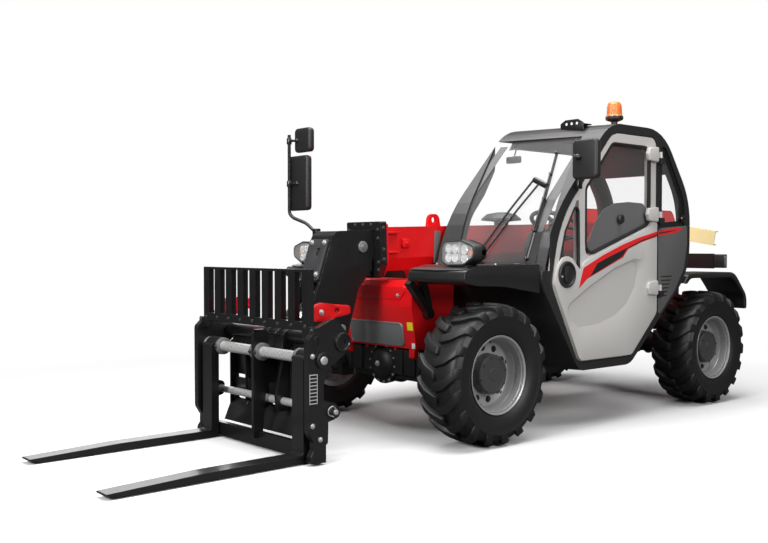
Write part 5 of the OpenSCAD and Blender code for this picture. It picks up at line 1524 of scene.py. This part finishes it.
def makePedals():
    pedals = []
    loop = roundCorners(cabSettings["pedal"], 0.010, 3)
    for y in cabSettings["pedalRows"]:
        pedals.append(platePiece(loop, at(-0.690, y - 0.045, 0.430), (0, 1, 0),
                                 Vector((0.55, 0, 0.83)), 0.010, 0.003))
        pedals.append(tubePiece([at(-0.655, y, 0.490), at(-0.610, y, 0.480), at(-0.590, y, 0.410)], 0.010,
                                10, 0.02))
    mat = boxPiece(at(-1.110, 0.215, 0.4065), at(-0.700, 0.795, 0.4130), 0.002)
    gather([*pedals, mat], "pedalSet", "chassis", softRubber)


makeSteering()
makeControls()
makePedals()
print("cab inside ready")

# axles: covers with bolts, ribs along the housings, kingpin caps and the guard in front
axleSettings = {
    "covers": [(0.0, 1), (-2.3, -1)], "height": 0.408, "ribs": [0.230, 0.330, 0.430],
    "guards": [((0.055, -0.330, 0.345), (0.122, 0.340, 0.512)),
               ((0.030, -0.300, 0.315), (0.100, 0.300, 0.350))],
    "fins": [-0.310, -0.200, 0.190, 0.300], "kingpin": 0.6, "capRows": [(0.5382, 1), (0.2778, -1)],
    "cover": [(0, 0.060), (0.126, 0.060), (0.130, 0.105), (0.128, 0.116), (0.104, 0.118), (0.098, 0.132),
              (0.070, 0.152), (0.030, 0.158), (0, 0.158)],
    "cap": [(0, 0), (0.046, 0), (0.046, 0.005), (0.030, 0.009), (0, 0.010)],
}


def makeAxles():
    parts, bolts = [], []
    for x, side in axleSettings["covers"]:
        spot = at(x, 0, axleSettings["height"])
        axis = Vector((side, 0, 0))
        parts.append(spunPiece(axleSettings["cover"], spot, axis, 48))
        bolts.append(boltSet(ring(spot + axis * 0.116, axis, 0.117, 14), axis, 0.0065))
        bolts.append(boltSet([spot + axis * 0.158], axis, 0.012))
        for y in axleSettings["ribs"]:
            for s in (-1, 1):
                parts.append(rodPiece(at(x, s * y - 0.005, spot.z),
                                      at(x, s * y + 0.005, spot.z), 0.086, 32, 0.002))
        for s in (-1, 1):
            y = s * axleSettings["kingpin"]
            for z, w in axleSettings["capRows"]:
                parts.append(spunPiece(axleSettings["cap"], at(x, y, z), (0, 0, w), 28))
                places = ring(at(x, y, z + w * 0.004), (0, 0, w), 0.038, 4, 0.4)
                bolts.append(boltSet(places, (0, 0, w), 0.0048))
    for low, high in axleSettings["guards"]:
        parts.append(boxPiece(at(*low), at(*high), 0.012, 3))
    for y in axleSettings["fins"]:
        parts.append(boxPiece(at(0.118, y, 0.350), at(0.134, y + 0.012, 0.505), 0.003))
    gather(parts, "axleCovers", "chassis", castBlack)
    gather(bolts, "axleBolts", "chassis", zincSteel)


makeAxles()

# engine hood: louvres in a frame, latch handle and bars of the air intake
hoodSettings = {
    "frame": [(-1.560, 0.560), (-0.900, 0.560), (-0.900, 0.860), (-1.560, 0.860)], "slats": 8,
    "slat": [(-1.540, 0), (-0.920, 0), (-0.920, 0.026), (-1.540, 0.026)],
    "firstSlat": 0.582, "slatStep": 0.035,
    "intake": (-1.480, -0.450, 1.343), "intakeRadius": 0.1495, "bars": 24,
}


def makeHood():
    loop = roundCorners(hoodSettings["frame"], 0.03, 4)
    parts = [platePiece(loop, at(0, -0.8795, 0), (1, 0, 0), (0, 0, 1), 0.0012)]
    for k in range(hoodSettings["slats"]):
        z = hoodSettings["firstSlat"] + k * hoodSettings["slatStep"]
        parts.append(platePiece(hoodSettings["slat"], at(0, -0.8800, z), (1, 0, 0),
                                Vector((0, 0.25, 0.97)), 0.004, 0.001))
    parts.append(framePiece(loop, insetLoop(loop, 0.014), at(0, -0.8790, 0), (1, 0, 0),
                            (0, 0, 1), 0.008, 0.002))
    handle = boxPiece(at(-0.720, -0.889, 0.640), at(-0.600, -0.879, 0.690), 0.004)
    grip = boxPiece(at(-0.705, -0.8895, 0.652), at(-0.615, -0.8870, 0.668), 0.001)
    gather([*parts, handle, grip], "hoodLouvres", "hood", blackPlastic)
    bars = []
    for place in ring(at(*hoodSettings["intake"]), (0, 0, 1), hoodSettings["intakeRadius"],
                      hoodSettings["bars"]):
        bars.append(rodPiece(place - Vector((0, 0, 0.004)), place + Vector((0, 0, 0.010)), 0.004, 6))
    gather(bars, "intakeBars", "hood", blackPlastic)


makeHood()

# tail: lamp housings with lenses behind, grey end brackets, plate holder and bolts
tailSettings = {
    "lamp": (0.640, 0.735, 0.975, 1.080), "back": -2.735, "front": -2.685,
    "holder": [(0.120, 0.880), (0.300, 0.880), (0.300, 0.990), (0.120, 0.990)],
    "bolts": [(-0.290, 0.520), (-0.290, 0.760), (0.290, 0.520), (0.290, 0.760), (-0.200, 1.030),
              (0.0, 1.030)],
}


def makeTail():
    y0, y1, z0, z1 = tailSettings["lamp"]
    back, front = tailSettings["back"], tailSettings["front"]
    shell = paint(boxPiece(at(back + 0.006, y0, z0), at(front, y1, z1), 0.008, 3), blackPlastic)
    bracket = paint(boxPiece(at(front - 0.030, y1 - 0.002, z0 + 0.012),
                             at(front - 0.005, y1 + 0.004, z1 - 0.012), 0.002), plateGrey)
    third = (z1 - z0 - 0.012) / 3
    lenses = []
    for k, material in enumerate((labelWhite, amberLens, redLens)):
        low = z0 + 0.006 + k * third
        lenses.append(paint(boxPiece(at(back, y0 + 0.007, low + 0.001),
                                     at(back + 0.010, y1 - 0.007, low + third - 0.001), 0.003, 3),
                            material))
    left = joinAll([shell, bracket, *lenses], "tailLamp")
    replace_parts(gather([left, mirrored(left)], "tailLampSet", "chassis"), "tail_lamps")
    holder = paint(facePlate(roundCorners(tailSettings["holder"], 0.008), -2.721, -2.714, 0.002),
                   blackPlastic)
    bolts = boltSet([at(-2.7148, y, z) for y, z in tailSettings["bolts"]], (-1, 0, 0), 0.014)
    gather([holder, paint(bolts, zincSteel)], "tailFittings", "chassis")


makeTail()
print("axles, hood and tail ready")
